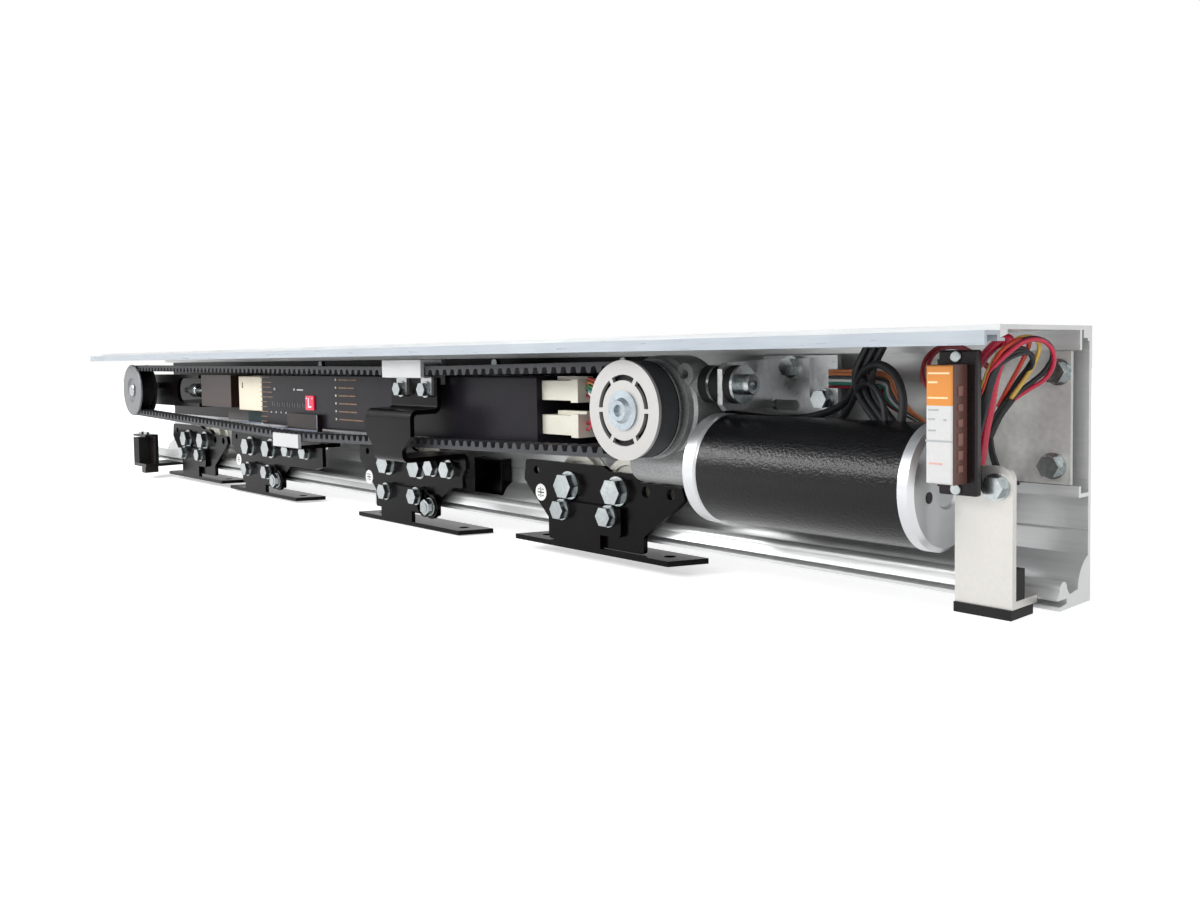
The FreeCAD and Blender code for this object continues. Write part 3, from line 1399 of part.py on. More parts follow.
def wire_tube(name, radius, route):
    """A tube along a route of X, front distance and Z points."""
    points = [FreeCAD.Vector(x, -front, z + number(bottom)) for x, front, z in route]
    edges = []
    at = points[0]
    for before, corner, after in zip(points, points[1:], points[2:]):
        back = (before - corner)
        ahead = (after - corner)
        half_turn = (math.pi - back.getAngle(ahead)) / 2
        reach = 0.45 * min(back.Length, ahead.Length)
        bend = reach / math.tan(half_turn)
        back.normalize()
        ahead.normalize()
        first = corner + back * reach
        last = corner + ahead * reach
        bisector = (back + ahead).normalize()
        middle = corner + bisector * (bend / math.cos(half_turn) - bend)
        edges.append(Part.LineSegment(at, first).toShape())
        edges.append(Part.Arc(first, middle, last).toShape())
        print(name, "bend radius", round(bend, 1))
        at = last
    edges.append(Part.LineSegment(at, points[-1]).toShape())
    path = Part.Wire(edges)
    ring = Part.Wire([Part.Circle(points[0], points[1] - points[0], radius).toShape()])
    tube = doc.addObject("Part::Feature", name)
    tube.Shape = path.makePipeShell([ring], True, False)
    tube.Placement = FreeCAD.Placement()
    share = tube.Shape.Volume / (math.pi * radius ** 2 * path.Length)
    print(name, "volume against section times length", round(share, 3))
    return tube


plug_end = number(control_right + connector_length)
wire_front = number(plug_front) - 8
upper_wire_z = number(upper_connector_height + connector_height / 2)
lower_wire_z = number(lower_connector_height + connector_height / 2)
motor_top = number(motor_height + motor_radius) - 0.5
node("motor_cables", group("motor_cables", [
    wire_tube("motor_cable", 1.8, [
        (434, 42, motor_top), (435, 42, 83), (431, 41, 93), (421, 38, 98), (409, 33, 95),
        (400, 27, 85), (389, 22, 77), (372, 20, 72), (352, 20, 70), (330, 20, 71.5), (306, 20, 73),
        (284, 20, 75), (264, 27, 79), (251, 39, 83), (plug_end, wire_front, upper_wire_z)]),
    wire_tube("sensor_cable", 1.4, [
        (426, 42, motor_top), (425, 42, 81), (419, 40, 89), (409, 35, 89), (400, 28, 80),
        (390, 22, 71), (372, 20, 67), (350, 20, 66), (328, 20, 66), (306, 20, 67.5), (284, 20, 66),
        (264, 26, 65), (250, 38, 64), (plug_end, wire_front, lower_wire_z)]),
]))
base_right = number(base_left + base_width)
node("terminal_wires", group("terminal_wires", [
    wire_tube("supply_cable", 2, [
        (468, 53.5, 88), (468, 47, 90), (473, 41, 101), (481, 36, 104), (483, 32, 92),
        (479, 31, 74), (474, 28, 62), (471, 20, 57), (470, 11, 57)]),
    wire_tube("red_wire", 0.9, [
        (base_right, 58, 92), (479, 57, 93), (484, 50, 100), (489, 42, 107), (491.5, 33, 104),
        (491.5, 28, 92), (487, 24, 83), (481, 17, 78), (479, 11, 77)]),
    wire_tube("yellow_wire", 0.9, [
        (base_right, 58, 85), (479, 57, 87), (483, 51, 94), (487, 45, 103), (487.5, 36, 106),
        (487, 31, 97), (482, 27, 85), (476, 21, 75), (472, 15, 72), (470, 11, 72)]),
    wire_tube("black_wire", 1, [
        (base_right, 58, 77), (479, 57, 79), (484, 50, 88), (489, 44, 96), (490, 36, 96),
        (488, 30, 85), (484, 24, 74), (479, 17, 68), (477, 11, 67)]),
    wire_tube("left_wire", 0.9, [
        (number(base_left), 58, 88), (458, 57, 89), (451, 51, 95), (449, 43, 102), (452, 34, 105),
        (457, 25, 102), (459, 17, 96), (459, 11, 95)]),
]))

# Check every feature, then write one file for each sub-part
doc.recompute()
failed = [item.Name for item in doc.Objects if "Invalid" in item.State or "Error" in item.State]
if failed:
    raise RuntimeError(f"features that failed: {failed}")
for name, feature in nodes.items():
    if feature.Shape.isNull() or not feature.Shape.isValid():
        raise RuntimeError(f"{name} has no valid shape")
    feature.Shape.exportStep(f"parts/{name}.step")
print(len(nodes), "sub-parts")
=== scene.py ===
# %% [markdown]
# # Dressing a sliding door operator
# The CAD frame already holds every rigid piece at its true size. This lesson loads it,
# gives each piece the finish of the real one, adds the small printed and lit details,
# and sets the camera, lights and floor.

# %% Load the frame
import math
import bpy
from mathutils import Matrix, Vector


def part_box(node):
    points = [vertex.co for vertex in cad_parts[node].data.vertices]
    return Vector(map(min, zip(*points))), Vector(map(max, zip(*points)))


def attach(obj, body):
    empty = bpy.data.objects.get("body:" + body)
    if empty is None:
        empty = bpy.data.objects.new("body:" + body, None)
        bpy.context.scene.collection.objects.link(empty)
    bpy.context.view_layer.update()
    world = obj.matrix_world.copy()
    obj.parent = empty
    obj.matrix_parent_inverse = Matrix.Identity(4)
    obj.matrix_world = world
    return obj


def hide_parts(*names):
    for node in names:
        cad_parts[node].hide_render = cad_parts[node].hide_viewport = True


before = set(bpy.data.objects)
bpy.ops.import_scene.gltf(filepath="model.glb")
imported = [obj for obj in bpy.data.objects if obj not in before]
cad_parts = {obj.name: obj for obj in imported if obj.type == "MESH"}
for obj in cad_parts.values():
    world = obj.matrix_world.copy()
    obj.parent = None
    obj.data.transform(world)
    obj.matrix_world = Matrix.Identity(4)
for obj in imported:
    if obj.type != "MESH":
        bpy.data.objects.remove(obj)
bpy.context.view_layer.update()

print("nodes in the frame:", len(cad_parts))


# %% [markdown]
# Colours are written as the hex values that a paint card or a photograph gives. Blender's
# shaders work with linear light, so one function turns a hex value into linear numbers.

# %% Colour and node helpers
def linear(hex_value):
    """Turns an sRGB hex colour into linear red, green, blue and alpha."""
    channels = [int(hex_value[i:i + 2], 16) / 255 for i in (0, 2, 4)]
    return [c / 12.92 if c <= 0.04045 else ((c + 0.055) / 1.055) ** 2.4 for c in channels] + [1.0]


def add(tree, kind, values=None, links=None, **settings):
    """Adds a node with its settings, its socket values and the links into it."""
    made = tree.nodes.new(kind)
    for name, value in settings.items():
        setattr(made, name, value)
    for socket, value in (values or {}).items():
        made.inputs[socket].default_value = value
    for socket, source in (links or {}).items():
        tree.links.new(source, made.inputs[socket])
    return made


# %% [markdown]
# Nearly every surface on a machine part shows two things at once: a fine grain left by how
# it was made, and a slow unevenness of a few centimetres. Both are noise patterns on the
# object's own coordinates, so they stay in place when the camera or the piece moves. The
# grain is given in millimetres and can be stretched along the beam, as drawn or brushed
# metal is.

# %% The surface builder
finishes = {}


def surface(name, light, dark, metallic, roughness, grain_mm, bump, stretch=(1, 1, 1),
            roughness_spread=0.06, glow=None, sheen=0.5):
    """Lists a finish with a grain between two close colours; sheen is its mirror share."""
    material = bpy.data.materials.new(name)
    material.use_nodes = True
    tree = material.node_tree
    shader = tree.nodes["Principled BSDF"]
    shader.inputs["Metallic"].default_value = metallic
    shader.inputs["Specular IOR Level"].default_value = sheen
    place = add(tree, "ShaderNodeTexCoord")
    turned = add(tree, "ShaderNodeMapping", {"Scale": stretch}, {"Vector": place.outputs["Object"]})
    grain = add(tree, "ShaderNodeTexNoise", {"Scale": 1000 / grain_mm, "Detail": 3.0},
                {"Vector": turned.outputs["Vector"]})
    slow = add(tree, "ShaderNodeTexNoise", {"Scale": 28.0, "Detail": 1.0},
               {"Vector": place.outputs["Object"]})
    mixed = add(tree, "ShaderNodeMath", None,
                {0: grain.outputs["Fac"], 1: slow.outputs["Fac"]}, operation="MULTIPLY")
    ramp = add(tree, "ShaderNodeMapRange", {"From Min": 0.08, "From Max": 0.42},
               {"Value": mixed.outputs["Value"]})
    colour = add(tree, "ShaderNodeMix", None, {"Factor": ramp.outputs["Result"]}, data_type="RGBA")
    colour.inputs[6].default_value = linear(dark)
    colour.inputs[7].default_value = linear(light)
    tree.links.new(colour.outputs[2], shader.inputs["Base Color"])
    gloss = add(tree, "ShaderNodeMapRange", {
        "From Min": 0.3, "From Max": 0.7,
        "To Min": roughness - roughness_spread / 2, "To Max": roughness + roughness_spread / 2,
    }, {"Value": grain.outputs["Fac"]})
    tree.links.new(gloss.outputs["Result"], shader.inputs["Roughness"])
    relief = add(tree, "ShaderNodeBump", {"Strength": bump, "Distance": grain_mm / 2500},
                 {"Height": grain.outputs["Fac"]})
    tree.links.new(relief.outputs["Normal"], shader.inputs["Normal"])
    if glow:
        shader.inputs["Emission Color"].default_value = linear(glow)
        shader.inputs["Emission Strength"].default_value = 0.9
    finishes[name] = material
    return material


def zone(material, output, axis, limit, hex_value, metallic, side="LESS_THAN"):
    """Gives the part of a piece past a limit on one axis its own colour and metal."""
    tree = material.node_tree
    shader = tree.nodes["Principled BSDF"]
    place = add(tree, "ShaderNodeTexCoord")
    split = add(tree, "ShaderNodeSeparateXYZ", None, {0: place.outputs[output]})
    past = add(tree, "ShaderNodeMath", {1: limit}, {0: split.outputs[axis]}, operation=side)
    colour = add(tree, "ShaderNodeMix", None, {"Factor": past.outputs["Value"]}, data_type="RGBA")
    tree.links.new(shader.inputs["Base Color"].links[0].from_socket, colour.inputs[6])
    colour.inputs[7].default_value = linear(hex_value)
    tree.links.new(colour.outputs[2], shader.inputs["Base Color"])
    metal = add(tree, "ShaderNodeMix", None, {0: past.outputs["Value"]}, data_type="FLOAT")
    metal.inputs[2].default_value = shader.inputs["Metallic"].default_value
    metal.inputs[3].default_value = metallic
    if shader.inputs["Metallic"].is_linked:
        tree.links.new(shader.inputs["Metallic"].links[0].from_socket, metal.inputs[2])
    tree.links.new(metal.outputs[0], shader.inputs["Metallic"])
    return material


# %% [markdown]
# The beam is extruded aluminium, anodised to a satin silver: the die leaves faint lines
# along its length, so the grain is stretched about twenty times along X. The cover rail is
# the same alloy under a pale paint. Brackets are zinc-plated steel with the plating's
# mottled spangle, or black powder coat with its orange-peel bump. The motor body has a
# grained black paint, and the belt is polyurethane with a dull skin.

# %% Finishes
along = (0.05, 1, 1)
surface("anodised_extrusion", "D2D3D2", "C2C4C5", 0.5, 0.32, 1.2, 0.04, along)
surface("pale_cover_paint", "A8AFB6", "9EA5AD", 0.35, 0.3, 1.4, 0.02, along)
surface("end_plate_zinc", "CAC9C5", "B3B3B1", 0.35, 0.36, 2.6, 0.02)
surface("zinc_plate", "BFC0C0", "A3A5A7", 0.85, 0.3, 2.6, 0.02)
surface("satin_steel", "C6C4C0", "BFBDB9", 0.7, 0.34, 1.6, 0.0)
surface("black_powder_coat", "0A0707", "040202", 0.0, 0.22, 1.1, 0.05, sheen=0.09)
surface("dark_stop_paint", "17110F", "0C0908", 0.0, 0.34, 1.1, 0.1, sheen=0.25)
surface("red_brown_block", "2E130C", "1B0A07", 0.0, 0.3, 1.2, 0.05, sheen=0.35)
surface("bright_zinc_bolt", "B3B8B8", "92989A", 0.95, 0.22, 1.8, 0.0)
surface("hub_zinc", "A9B2B8", "8E979D", 0.85, 0.3, 1.8, 0.0)
surface("black_abs", "1D1517", "110C0E", 0.0, 0.3, 0.7, 0.06, sheen=0.25)
surface("violet_black_panel", "1C191F", "151318", 0.0, 0.3, 0.8, 0.03, sheen=0.12)
surface("smoked_flap", "241A18", "17100F", 0.0, 0.2, 0.8, 0.02, sheen=0.14)
surface("header_pin", "4A4850", "37363D", 0.2, 0.3, 0.8, 0.03)
# Pale blue-grey for the rims: a painted highlight where the panel edges catch the light.
surface("painted_rim_highlight", "7F8496", "6C7183", 0.1, 0.3, 0.8, 0.03)
surface("teal_socket", "1C3234", "152628", 0.0, 0.45, 6.0, 0.03, sheen=0.15)
surface("cream_abs", "D9D2BE", "CEC6B0", 0.0, 0.42, 0.8, 0.05)
surface("white_nylon", "DAD8CC", "CECBBC", 0.0, 0.4, 0.8, 0.05)
surface("red_digit_window", "B80F34", "A00C2C", 0.0, 0.25, 1.0, 0.03, glow="A0102E")
surface("cast_housing", "A8A9A9", "7E8081", 0.55, 0.46, 1.1, 0.3)
surface("wrinkle_paint", "08080B", "040406", 0.0, 0.23, 1.2, 0.5, sheen=0.26)
surface("machined_aluminium", "C8CACC", "C3C5C7", 0.8, 0.32, 4.0, 0.0, roughness_spread=0)
surface("black_rubber", "1A1A1A", "0C0C0C", 0.0, 0.6, 0.9, 0.15, sheen=0.2)
surface("belt_polyurethane", "3C3D40", "2B2C2F", 0.0, 0.5, 0.9, 0.1, sheen=0.3)
surface("drive_pulley", "17171A", "0E0E10", 0.0, 0.4, 0.9, 0.06, sheen=0.25)
surface("idler_pulley", "1B1A1B", "111011", 0.0, 0.42, 0.9, 0.06, sheen=0.25)
surface("natural_nylon", "DAD9D0", "C9C7BC", 0.0, 0.4, 1.2, 0.05)
surface("light_grey_paint", "C0C1C1", "B3B4B5", 0.3, 0.38, 1.0, 0.04)
surface("label_white", "F6F6F4", "EEEEEB", 0.0, 0.35, 1.5, 0.02)
surface("label_ink", "A9ABAE", "9C9EA2", 0.0, 0.45, 1.0, 0.02)
surface("label_red_ink", "D4A59B", "CA988E", 0.0, 0.45, 1.0, 0.02)
surface("label_pale_ink", "F3D7AE", "EBCB9C", 0.0, 0.45, 1.0, 0.02)
surface("terminal_slit", "8C6257", "6E4A41", 0.0, 0.4, 0.8, 0.05)
surface("print_white", "B9B8B4", "A8A7A3", 0.0, 0.5, 1.0, 0.02)
surface("print_amber", "7F6044", "6C5038", 0.0, 0.6, 1.0, 0.02)
surface("lit_digit", "FFC9D2", "FF9FB0", 0.0, 0.3, 1.0, 0.02, glow="FFB6C4")
surface("black_cable", "26272A", "17181A", 0.0, 0.4, 0.9, 0.05, sheen=0.3)
surface("crimson_cable", "C4143F", "A81034", 0.0, 0.3, 1.2, 0.03)
surface("red_wire", "C93A24", "AE2A18", 0.0, 0.32, 1.0, 0.03)
surface("dark_red_wire", "8E1A2A", "74121F", 0.0, 0.32, 1.0, 0.03)
surface("yellow_wire", "D2B256", "C09C42", 0.0, 0.32, 1.0, 0.03)
surface("orange_wire", "CE8458", "BC7248", 0.0, 0.34, 1.0, 0.03)
surface("teal_wire", "2F8A76", "226E5E", 0.0, 0.34, 1.0, 0.03)
surface("green_wire", "4C9440", "397A30", 0.0, 0.34, 1.0, 0.03)
surface("white_wire", "E4E5E3", "D0D2D0", 0.0, 0.34, 1.0, 0.03)
surface("slate_wire", "4A4F56", "3A3F45", 0.0, 0.34, 1.0, 0.03)
print("finishes:", len(finishes))

# %% [markdown]
# Some pieces show two materials. Each pulley has a satin front disc on a dark drum, and the
# drive pulley a pale rear flange, so steps on the Y coordinate tell them apart. The printed
# strip of the terminal block is orange in its upper third, and the side of the block is the
# brown of a phenolic board.

# %% Pieces with more than one material
pulley_low, pulley_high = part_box("drive_pulley")
disc_back = pulley_low[1] + 0.0021
flange_front = pulley_high[1] - 0.0011
zone(finishes["drive_pulley"], "Object", "Y", disc_back, "B1B0AE", 0.55)
zone(finishes["drive_pulley"], "Object", "Y", flange_front, "B9B9B8", 0.8, "GREATER_THAN")
zone(finishes["idler_pulley"], "Object", "Y", disc_back, "77797B", 0.3)
strip_low, strip_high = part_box("terminal_block")
strip_split = strip_low[2] + 0.66 * (strip_high[2] - strip_low[2])
surface("terminal_strip", "C9C9C8", "C1C2C2", 0.0, 0.4, 1.5, 0.02)
zone(finishes["terminal_strip"], "Object", "Z", strip_split, "CE8438", 0.0, "GREATER_THAN")
zone(finishes["terminal_strip"], "Normal", "Y", -0.6, "5B3C35", 0.0, "GREATER_THAN")
strip_shader = finishes["terminal_strip"].node_tree.nodes["Principled BSDF"]
strip_shader.inputs["Specular IOR Level"].default_value = 0.4

# %% Give every CAD node its finish
wears = {
    "anodised_extrusion": ["header_beam"],
    "pale_cover_paint": ["cover_rail"],
    "end_plate_zinc": ["end_plate"],
    "zinc_plate": ["slotted_plate", "motor_bracket", "upper_belt_clamp",
                   "lower_belt_clamp"],
    "satin_steel": ["right_stop"],
    "hub_zinc": ["output_shaft"],
    "black_powder_coat": ["mounting_strip", "idler_bracket", "left_clamp_arm",
                          "right_clamp_bracket"],
    "dark_stop_paint": ["left_stop"],
    "red_brown_block": ["idler_block"],
    "bright_zinc_bolt": ["mount_screw", "tension_screw", "idler_axle", "strip_screws",
                         "fixed_bolts", "left_leaf_axles", "left_leaf_bolts",
                         "right_leaf_axles", "right_leaf_bolts"],
    "black_abs": ["terminal_foot"],
    "violet_black_panel": ["control_unit"],
    "smoked_flap": ["control_panel"],
    "cream_abs": ["plug_module"],
    "white_nylon": ["cable_plugs"],
    "red_digit_window": ["status_display"],
    "cast_housing": ["gearbox_housing"],
    "wrinkle_paint": ["motor_body"],
    "machined_aluminium": ["motor_front_ring", "motor_rear_cap"],
    "black_rubber": ["mount_rubbers", "stop_rubbers"],
    "belt_polyurethane": ["toothed_belt"],
    "drive_pulley": ["drive_pulley"],
    "idler_pulley": ["idler_pulley"],
    "light_grey_paint": ["upper_clamp_cover", "lower_clamp_cover"],
    "terminal_strip": ["terminal_block"],
    "crimson_cable": ["terminal_wires"],
    "black_cable": ["motor_cables"],
}
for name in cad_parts:
    if name.endswith("_roller"):
        wears.setdefault("natural_nylon", []).append(name)
    elif name.endswith("_plate") or name.endswith("_foot"):
        if not any(name in named for named in wears.values()):
            wears["black_powder_coat"].append(name)
dressed = 0
for finish, names in wears.items():
    for name in names:
        for holder in bpy.data.objects[name].material_slots:
            holder.material = finishes[finish]
        dressed += 1
print("dressed nodes:", dressed)


# %% [markdown]
# Small flat details, such as printed marks and stickers, are thin plates that lie on the
# face that carries them. One helper adds a plane at its size, gives it a little thickness
# and leaves its place in its mesh.

# %% Thin plates
def deselect():
    bpy.ops.object.select_all(action="DESELECT")


def settle(piece, finish, body):
    """Bakes the place into the mesh, then names finish, body and slot."""
    deselect()
    piece.select_set(True)
    bpy.context.view_layer.objects.active = piece
    bpy.ops.object.transform_apply(location=True, rotation=True, scale=True)
    piece.data.materials.clear()
    piece.data.materials.append(finishes[finish])
    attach(piece, body)
    return piece


def flat_bar(x, front, z, width, height):
    """One raised printed bar facing the front, 0.12 mm thick; sizes in millimetres."""
    deselect()
    bpy.ops.mesh.primitive_plane_add(size=1, location=(x / 1000, -front / 1000, z / 1000),
                                     rotation=(math.pi / 2, 0, 0))
    bar = bpy.context.object
    bar.scale = (width / 1000, height / 1000, 1)
    bpy.ops.object.transform_apply(location=False, rotation=True, scale=True)
    thick = bar.modifiers.new("print", "SOLIDIFY")
    thick.thickness = 0.00012
    thick.offset = 0
    bpy.ops.object.modifier_apply(modifier=thick.name)
    return bar


def joined(name, pieces):
    """Joins several meshes under one name."""
    deselect()
    for piece in pieces:
        piece.select_set(True)
    bpy.context.view_layer.objects.active = pieces[0]
    bpy.ops.object.join()
    pieces[0].name = name
    pieces[0].data.name = name
    return pieces[0]


# %% [markdown]
# The control unit's face carries a row of small header pins, indicator lamps, a lit digit and
# printed legends. The legends are plain bars of uneven length, because at this size the eye
# only reads them as rows of words.

# %% Printed rows on the control unit
unit_face = 55
print_face = unit_face + 0.06
amber_rows = []
for row, length in enumerate([15.7, 20.4, 18.8, 21.1, 22.0, 11.3, 12.2, 13.7, 11.8, 10.0]):
    z = 33.1 - row * 4.0
    words = 2 if length > 18 else 1
    for word in range(words):
        part = (length - words + 1) / words
        x = -159.6 + part / 2 + word * (part + 1)
        amber_rows.append(flat_bar(x, print_face, z, part, 0.65))
for row, length in enumerate([26.6, 23.0, 25.2, 26.6, 26.8, 35.5]):
    z = 31.8 - row * 5.8
    amber_rows.append(flat_bar(-27.7 + length * 0.3, print_face, z, length * 0.6 - 0.8, 0.8))
    amber_rows.append(flat_bar(-27.7 + length * 0.8, print_face, z, length * 0.4 - 0.8, 0.8))
settle(joined("legend_rows_amber", amber_rows), "print_amber", "header")
white_rows = [flat_bar(-31.8, print_face, 31.9 - row * 5.8, 1.7, 1.5) for row in range(6)]
white_rows.append(flat_bar(-89, print_face, 23.6, 10.4, 1.0))
settle(joined("legend_rows_white", white_rows), "print_white", "header")
print("legend bars:", len(amber_rows) + len(white_rows))

# %% [markdown]
# The smoked flap and the lower edge of the unit carry a pale rim, a painted highlight, and the
# plug-in module leaves a small socket free below it, with a painted pale highlight on its lip.

# %% Painted rim highlights and the empty socket
flap_face = 59.1
# Thin pale bars on the flap's lower and side edges and on the unit's lower lip: painted edge
# highlights.
rim_highlights = [
    flat_bar(-107, flap_face, -6.9, 106, 1.1),
    flat_bar(-54.5, flap_face, -1.0, 0.9, 12.4),
    flat_bar(-182, unit_face + 0.2, -4.9, 44, 1.1),
]
settle(joined("painted_rim_highlights", rim_highlights), "painted_rim_highlight", "header")
socket = flat_bar(-181.5, 47.15, -0.2, 42, 9.2)
socket.name = "module_socket"
settle(socket, "teal_socket", "header")


# %% [markdown]
# An indicator lamp is a small dome. A sphere is cut in half with bisect in edit mode, so that
# the flat side sits on the panel.

# %% Indicator lamps and header pins
def dome(x, front, z, radius):
    """A small dome that stands out of the panel; sizes in millimetres."""
    deselect()
    bpy.ops.mesh.primitive_uv_sphere_add(segments=16, ring_count=8, radius=radius / 1000,
                                         location=(x / 1000, -front / 1000, z / 1000))
    lamp = bpy.context.object
    bpy.ops.object.mode_set(mode="EDIT")
    bpy.ops.mesh.select_all(action="SELECT")
    bpy.ops.mesh.bisect(plane_co=(x / 1000, -front / 1000, z / 1000), plane_no=(0, 1, 0),
                        use_fill=True, clear_outer=True)
    bpy.ops.object.mode_set(mode="OBJECT")
    return lamp


pin_pitch = 8.8
lamps = [dome(x, unit_face, 23.8, 1.2) for x in (-132.7, -97.9)]
lamps += [dome(-139.7 + pin_pitch * step, unit_face, 5.0, 0.9) for step in range(4)]
settle(joined("indicator_lamps", lamps), "print_white", "header")


def pin(x, z):
    """A square header pin bent to one side: a plate extruded to the front and moved."""
    post = flat_bar(x, unit_face + 0.1, z, 1.1, 3.4)
    bpy.ops.object.mode_set(mode="EDIT")
    bpy.ops.mesh.select_all(action="SELECT")
    bpy.ops.mesh.extrude_region_move(TRANSFORM_OT_translate={"value": (0.0006, -0.0022, 0.0008)})
    bpy.ops.object.mode_set(mode="OBJECT")
    return post


pins = [pin(-133.6 + pin_pitch * step, 11.2) for step in range(7)]
settle(joined("header_pins", pins), "header_pin", "header")

# %% [markdown]
# The lit digit has the seven-bar form of such displays, with most bars off. An upright bar and
# a foot bar meet in a corner, much like a plain L, with a dot on either side of the top. The
# bars stand on the red window.

# %% Lit digit bars
low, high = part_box("status_display")
window_x = (low[0] + high[0]) * 500
window_z = (low[2] + high[2]) * 500
window_front = -low[1] * 1000 + 0.06
bars = [
    flat_bar(window_x - 1.6, window_front, window_z + 0.4, 1.1, 6.4),
    flat_bar(window_x + 0.4, window_front, window_z - 2.9, 5.0, 1.1),
    flat_bar(window_x - 4.6, window_front, window_z + 3.6, 0.9, 0.9),
    flat_bar(window_x + 4.4, window_front, window_z + 3.6, 0.9, 0.9),
]
settle(joined("digit_bars", bars), "lit_digit", "header")

# %% [markdown]
# Three hangers carry a round paper sticker. It is a filled circle with a little
# thickness and a raised ring near its edge.

# %% Round stickers
plate_front = 35.5


def sticker(name, x, z, body):
    """A blank round sticker on a hanger plate; sizes in millimetres."""
    deselect()
    bpy.ops.mesh.primitive_circle_add(vertices=32, radius=0.0051, fill_type="NGON",
                                      location=(x / 1000, -(plate_front + 0.1) / 1000, z / 1000),
                                      rotation=(math.pi / 2, 0, 0))
    disc = bpy.context.object
    disc.name = name
    bpy.ops.object.mode_set(mode="EDIT")
    bpy.ops.mesh.select_all(action="SELECT")
    bpy.ops.mesh.inset(thickness=0.0005, depth=0)
    bpy.ops.mesh.inset(thickness=0.0004, depth=0.00008)
    bpy.ops.object.mode_set(mode="OBJECT")
    thick = disc.modifiers.new("paper", "SOLIDIFY")
    thick.thickness = 0.0001
    thick.offset = 0
    bpy.ops.object.modifier_apply(modifier=thick.name)
    return settle(disc, "label_white", body)


for name, x, z, body in (("right_inner", -20.2, -40.7, "right_leaf"),
                         ("right_outer", 183.2, -34.8, "right_leaf"),
                         ("left_inner", -252.3, -42.3, "left_leaf")):
    sticker("sticker_" + name, x, z, body)
    ink_front = plate_front + 0.22
    marks = [flat_bar(x, ink_front, z, 6.0, 0.7), flat_bar(x, ink_front, z, 0.7, 6.0)]
    marks += [flat_bar(x + side * 1.9, ink_front, z + rise * 1.9, 1.6, 0.6)
              for side in (-1, 1) for rise in (-1, 1)]
    settle(joined("sticker_marks_" + name, marks), "black_cable", body)

# %% [markdown]
# Each inner hanger has a rounded lug with a third bolt below its foot bolts. The lug is two
# flat discs that overlap, and the bolt is a hexagon prism on a washer, with a small round
# mark on its head. All of them have a narrow bevel.

# %% Third bolts of the inner hangers
def turned_disc(x, front, z, radius, depth, sides, bevel=0.0003):
    """A disc or prism that stands to the front from the given distance; sizes in millimetres."""
    deselect()
    bpy.ops.mesh.primitive_cylinder_add(vertices=sides, radius=radius / 1000, depth=depth / 1000,
                                        location=(x / 1000, -(front + depth / 2) / 1000, z / 1000),
                                        rotation=(math.pi / 2, 0, 0))
    disc = bpy.context.object
    bpy.ops.object.transform_apply(location=False, rotation=True, scale=True)
    edge = disc.modifiers.new("edge", "BEVEL")
    edge.width = bevel
    edge.segments = 2
    bpy.ops.object.modifier_apply(modifier=edge.name)
    return disc


lug_front = plate_front + 3
washer_front = lug_front + 1.2
head_front = lug_front + 5
bolt_z = -54.5
for side, lug_x, body in (("right", 66, "right_leaf"), ("left", -168, "left_leaf")):
    lug_parts = [
        turned_disc(lug_x, plate_front, bolt_z, 8.5, 3, 48),
        turned_disc(lug_x - 8, plate_front, -53, 9.5, 3, 48),
    ]
    settle(joined(side + "_inner_lug", lug_parts), "black_powder_coat", body)
    bolt_parts = [
        turned_disc(lug_x, lug_front, bolt_z, 6.2, 1.2, 48),
        turned_disc(lug_x, washer_front, bolt_z, 5.8, 4, 6, 0.0005),
        turned_disc(lug_x, head_front, bolt_z, 3.4, 0.5, 32, 0.0001),
    ]
    settle(joined(side + "_inner_lug_bolt", bolt_parts), "bright_zinc_bolt", body)

# %% [markdown]
# The terminal block's label carries short printed lines, and its side a row of clamping
# slits. The words are bars again.

# %% Terminal label and slits
strip_left = strip_low[0] * 1000
strip_face = -strip_low[1] * 1000 + 0.06
for name, finish, rows in (
    ("label_lines_pale", "label_pale_ink", [(5.6, 38.3, 9), (3.2, 34.9, 4), (5.2, 29.0, 8.4)]),
    ("label_lines_grey", "label_ink",
     [(3.4, 24.4, 4.4), (2.6, 20.9, 3), (8.2, 20.7, 1.2), (2.8, 16.6, 3), (5.75, 12.6, 11.3)]),
    ("label_lines_red", "label_red_ink", [(4.4, 4.0, 5.6)]),
):
    lines = [flat_bar(strip_left + right, strip_face, z, width, 0.7) for right, z, width in rows]
    settle(joined(name, lines), finish, "header")
slits = []
for z, height in ((31.5, 3.6), (25.2, 2.6), (19.4, 2.8), (13.2, 4.6), (7.2, 3.4), (2.0, 2.6)):
    deselect()
    bpy.ops.mesh.primitive_cube_add(size=1, location=(strip_high[0] + 0.0001, -0.0668, z / 1000))
    slit = bpy.context.object
    slit.scale = (0.0006, 0.0034, height / 1000)
    slits.append(slit)
settle(joined("terminal_slits", slits), "terminal_slit", "header")


# %% [markdown]
# The terminal block is screwed to a black base that shows above, below and beside it, and a
# dark block sits on the wall behind the belt. Both are cubes with bevelled edges. The rear
# cap's screw hole is so small that a dark disc on the cap paints the shade in its depth.

# %% Terminal base and wall block
def bevelled_box(name, finish, left, right, front, back, low, high):
    """A box with small round edges between its six planes; sizes in millimetres."""
    deselect()
    middle = ((left + right) / 2000, -(front + back) / 2000, (low + high) / 2000)
    bpy.ops.mesh.primitive_cube_add(size=1, location=middle)
    block = bpy.context.object
    block.name = name
    block.scale = ((right - left) / 1000, (front - back) / 1000, (high - low) / 1000)
    bpy.ops.object.transform_apply(location=False, rotation=True, scale=True)
    edge = block.modifiers.new("edge", "BEVEL")
    edge.width = 0.0008
    edge.segments = 3
    bpy.ops.object.modifier_apply(modifier=edge.name)
    return settle(block, finish, "header")


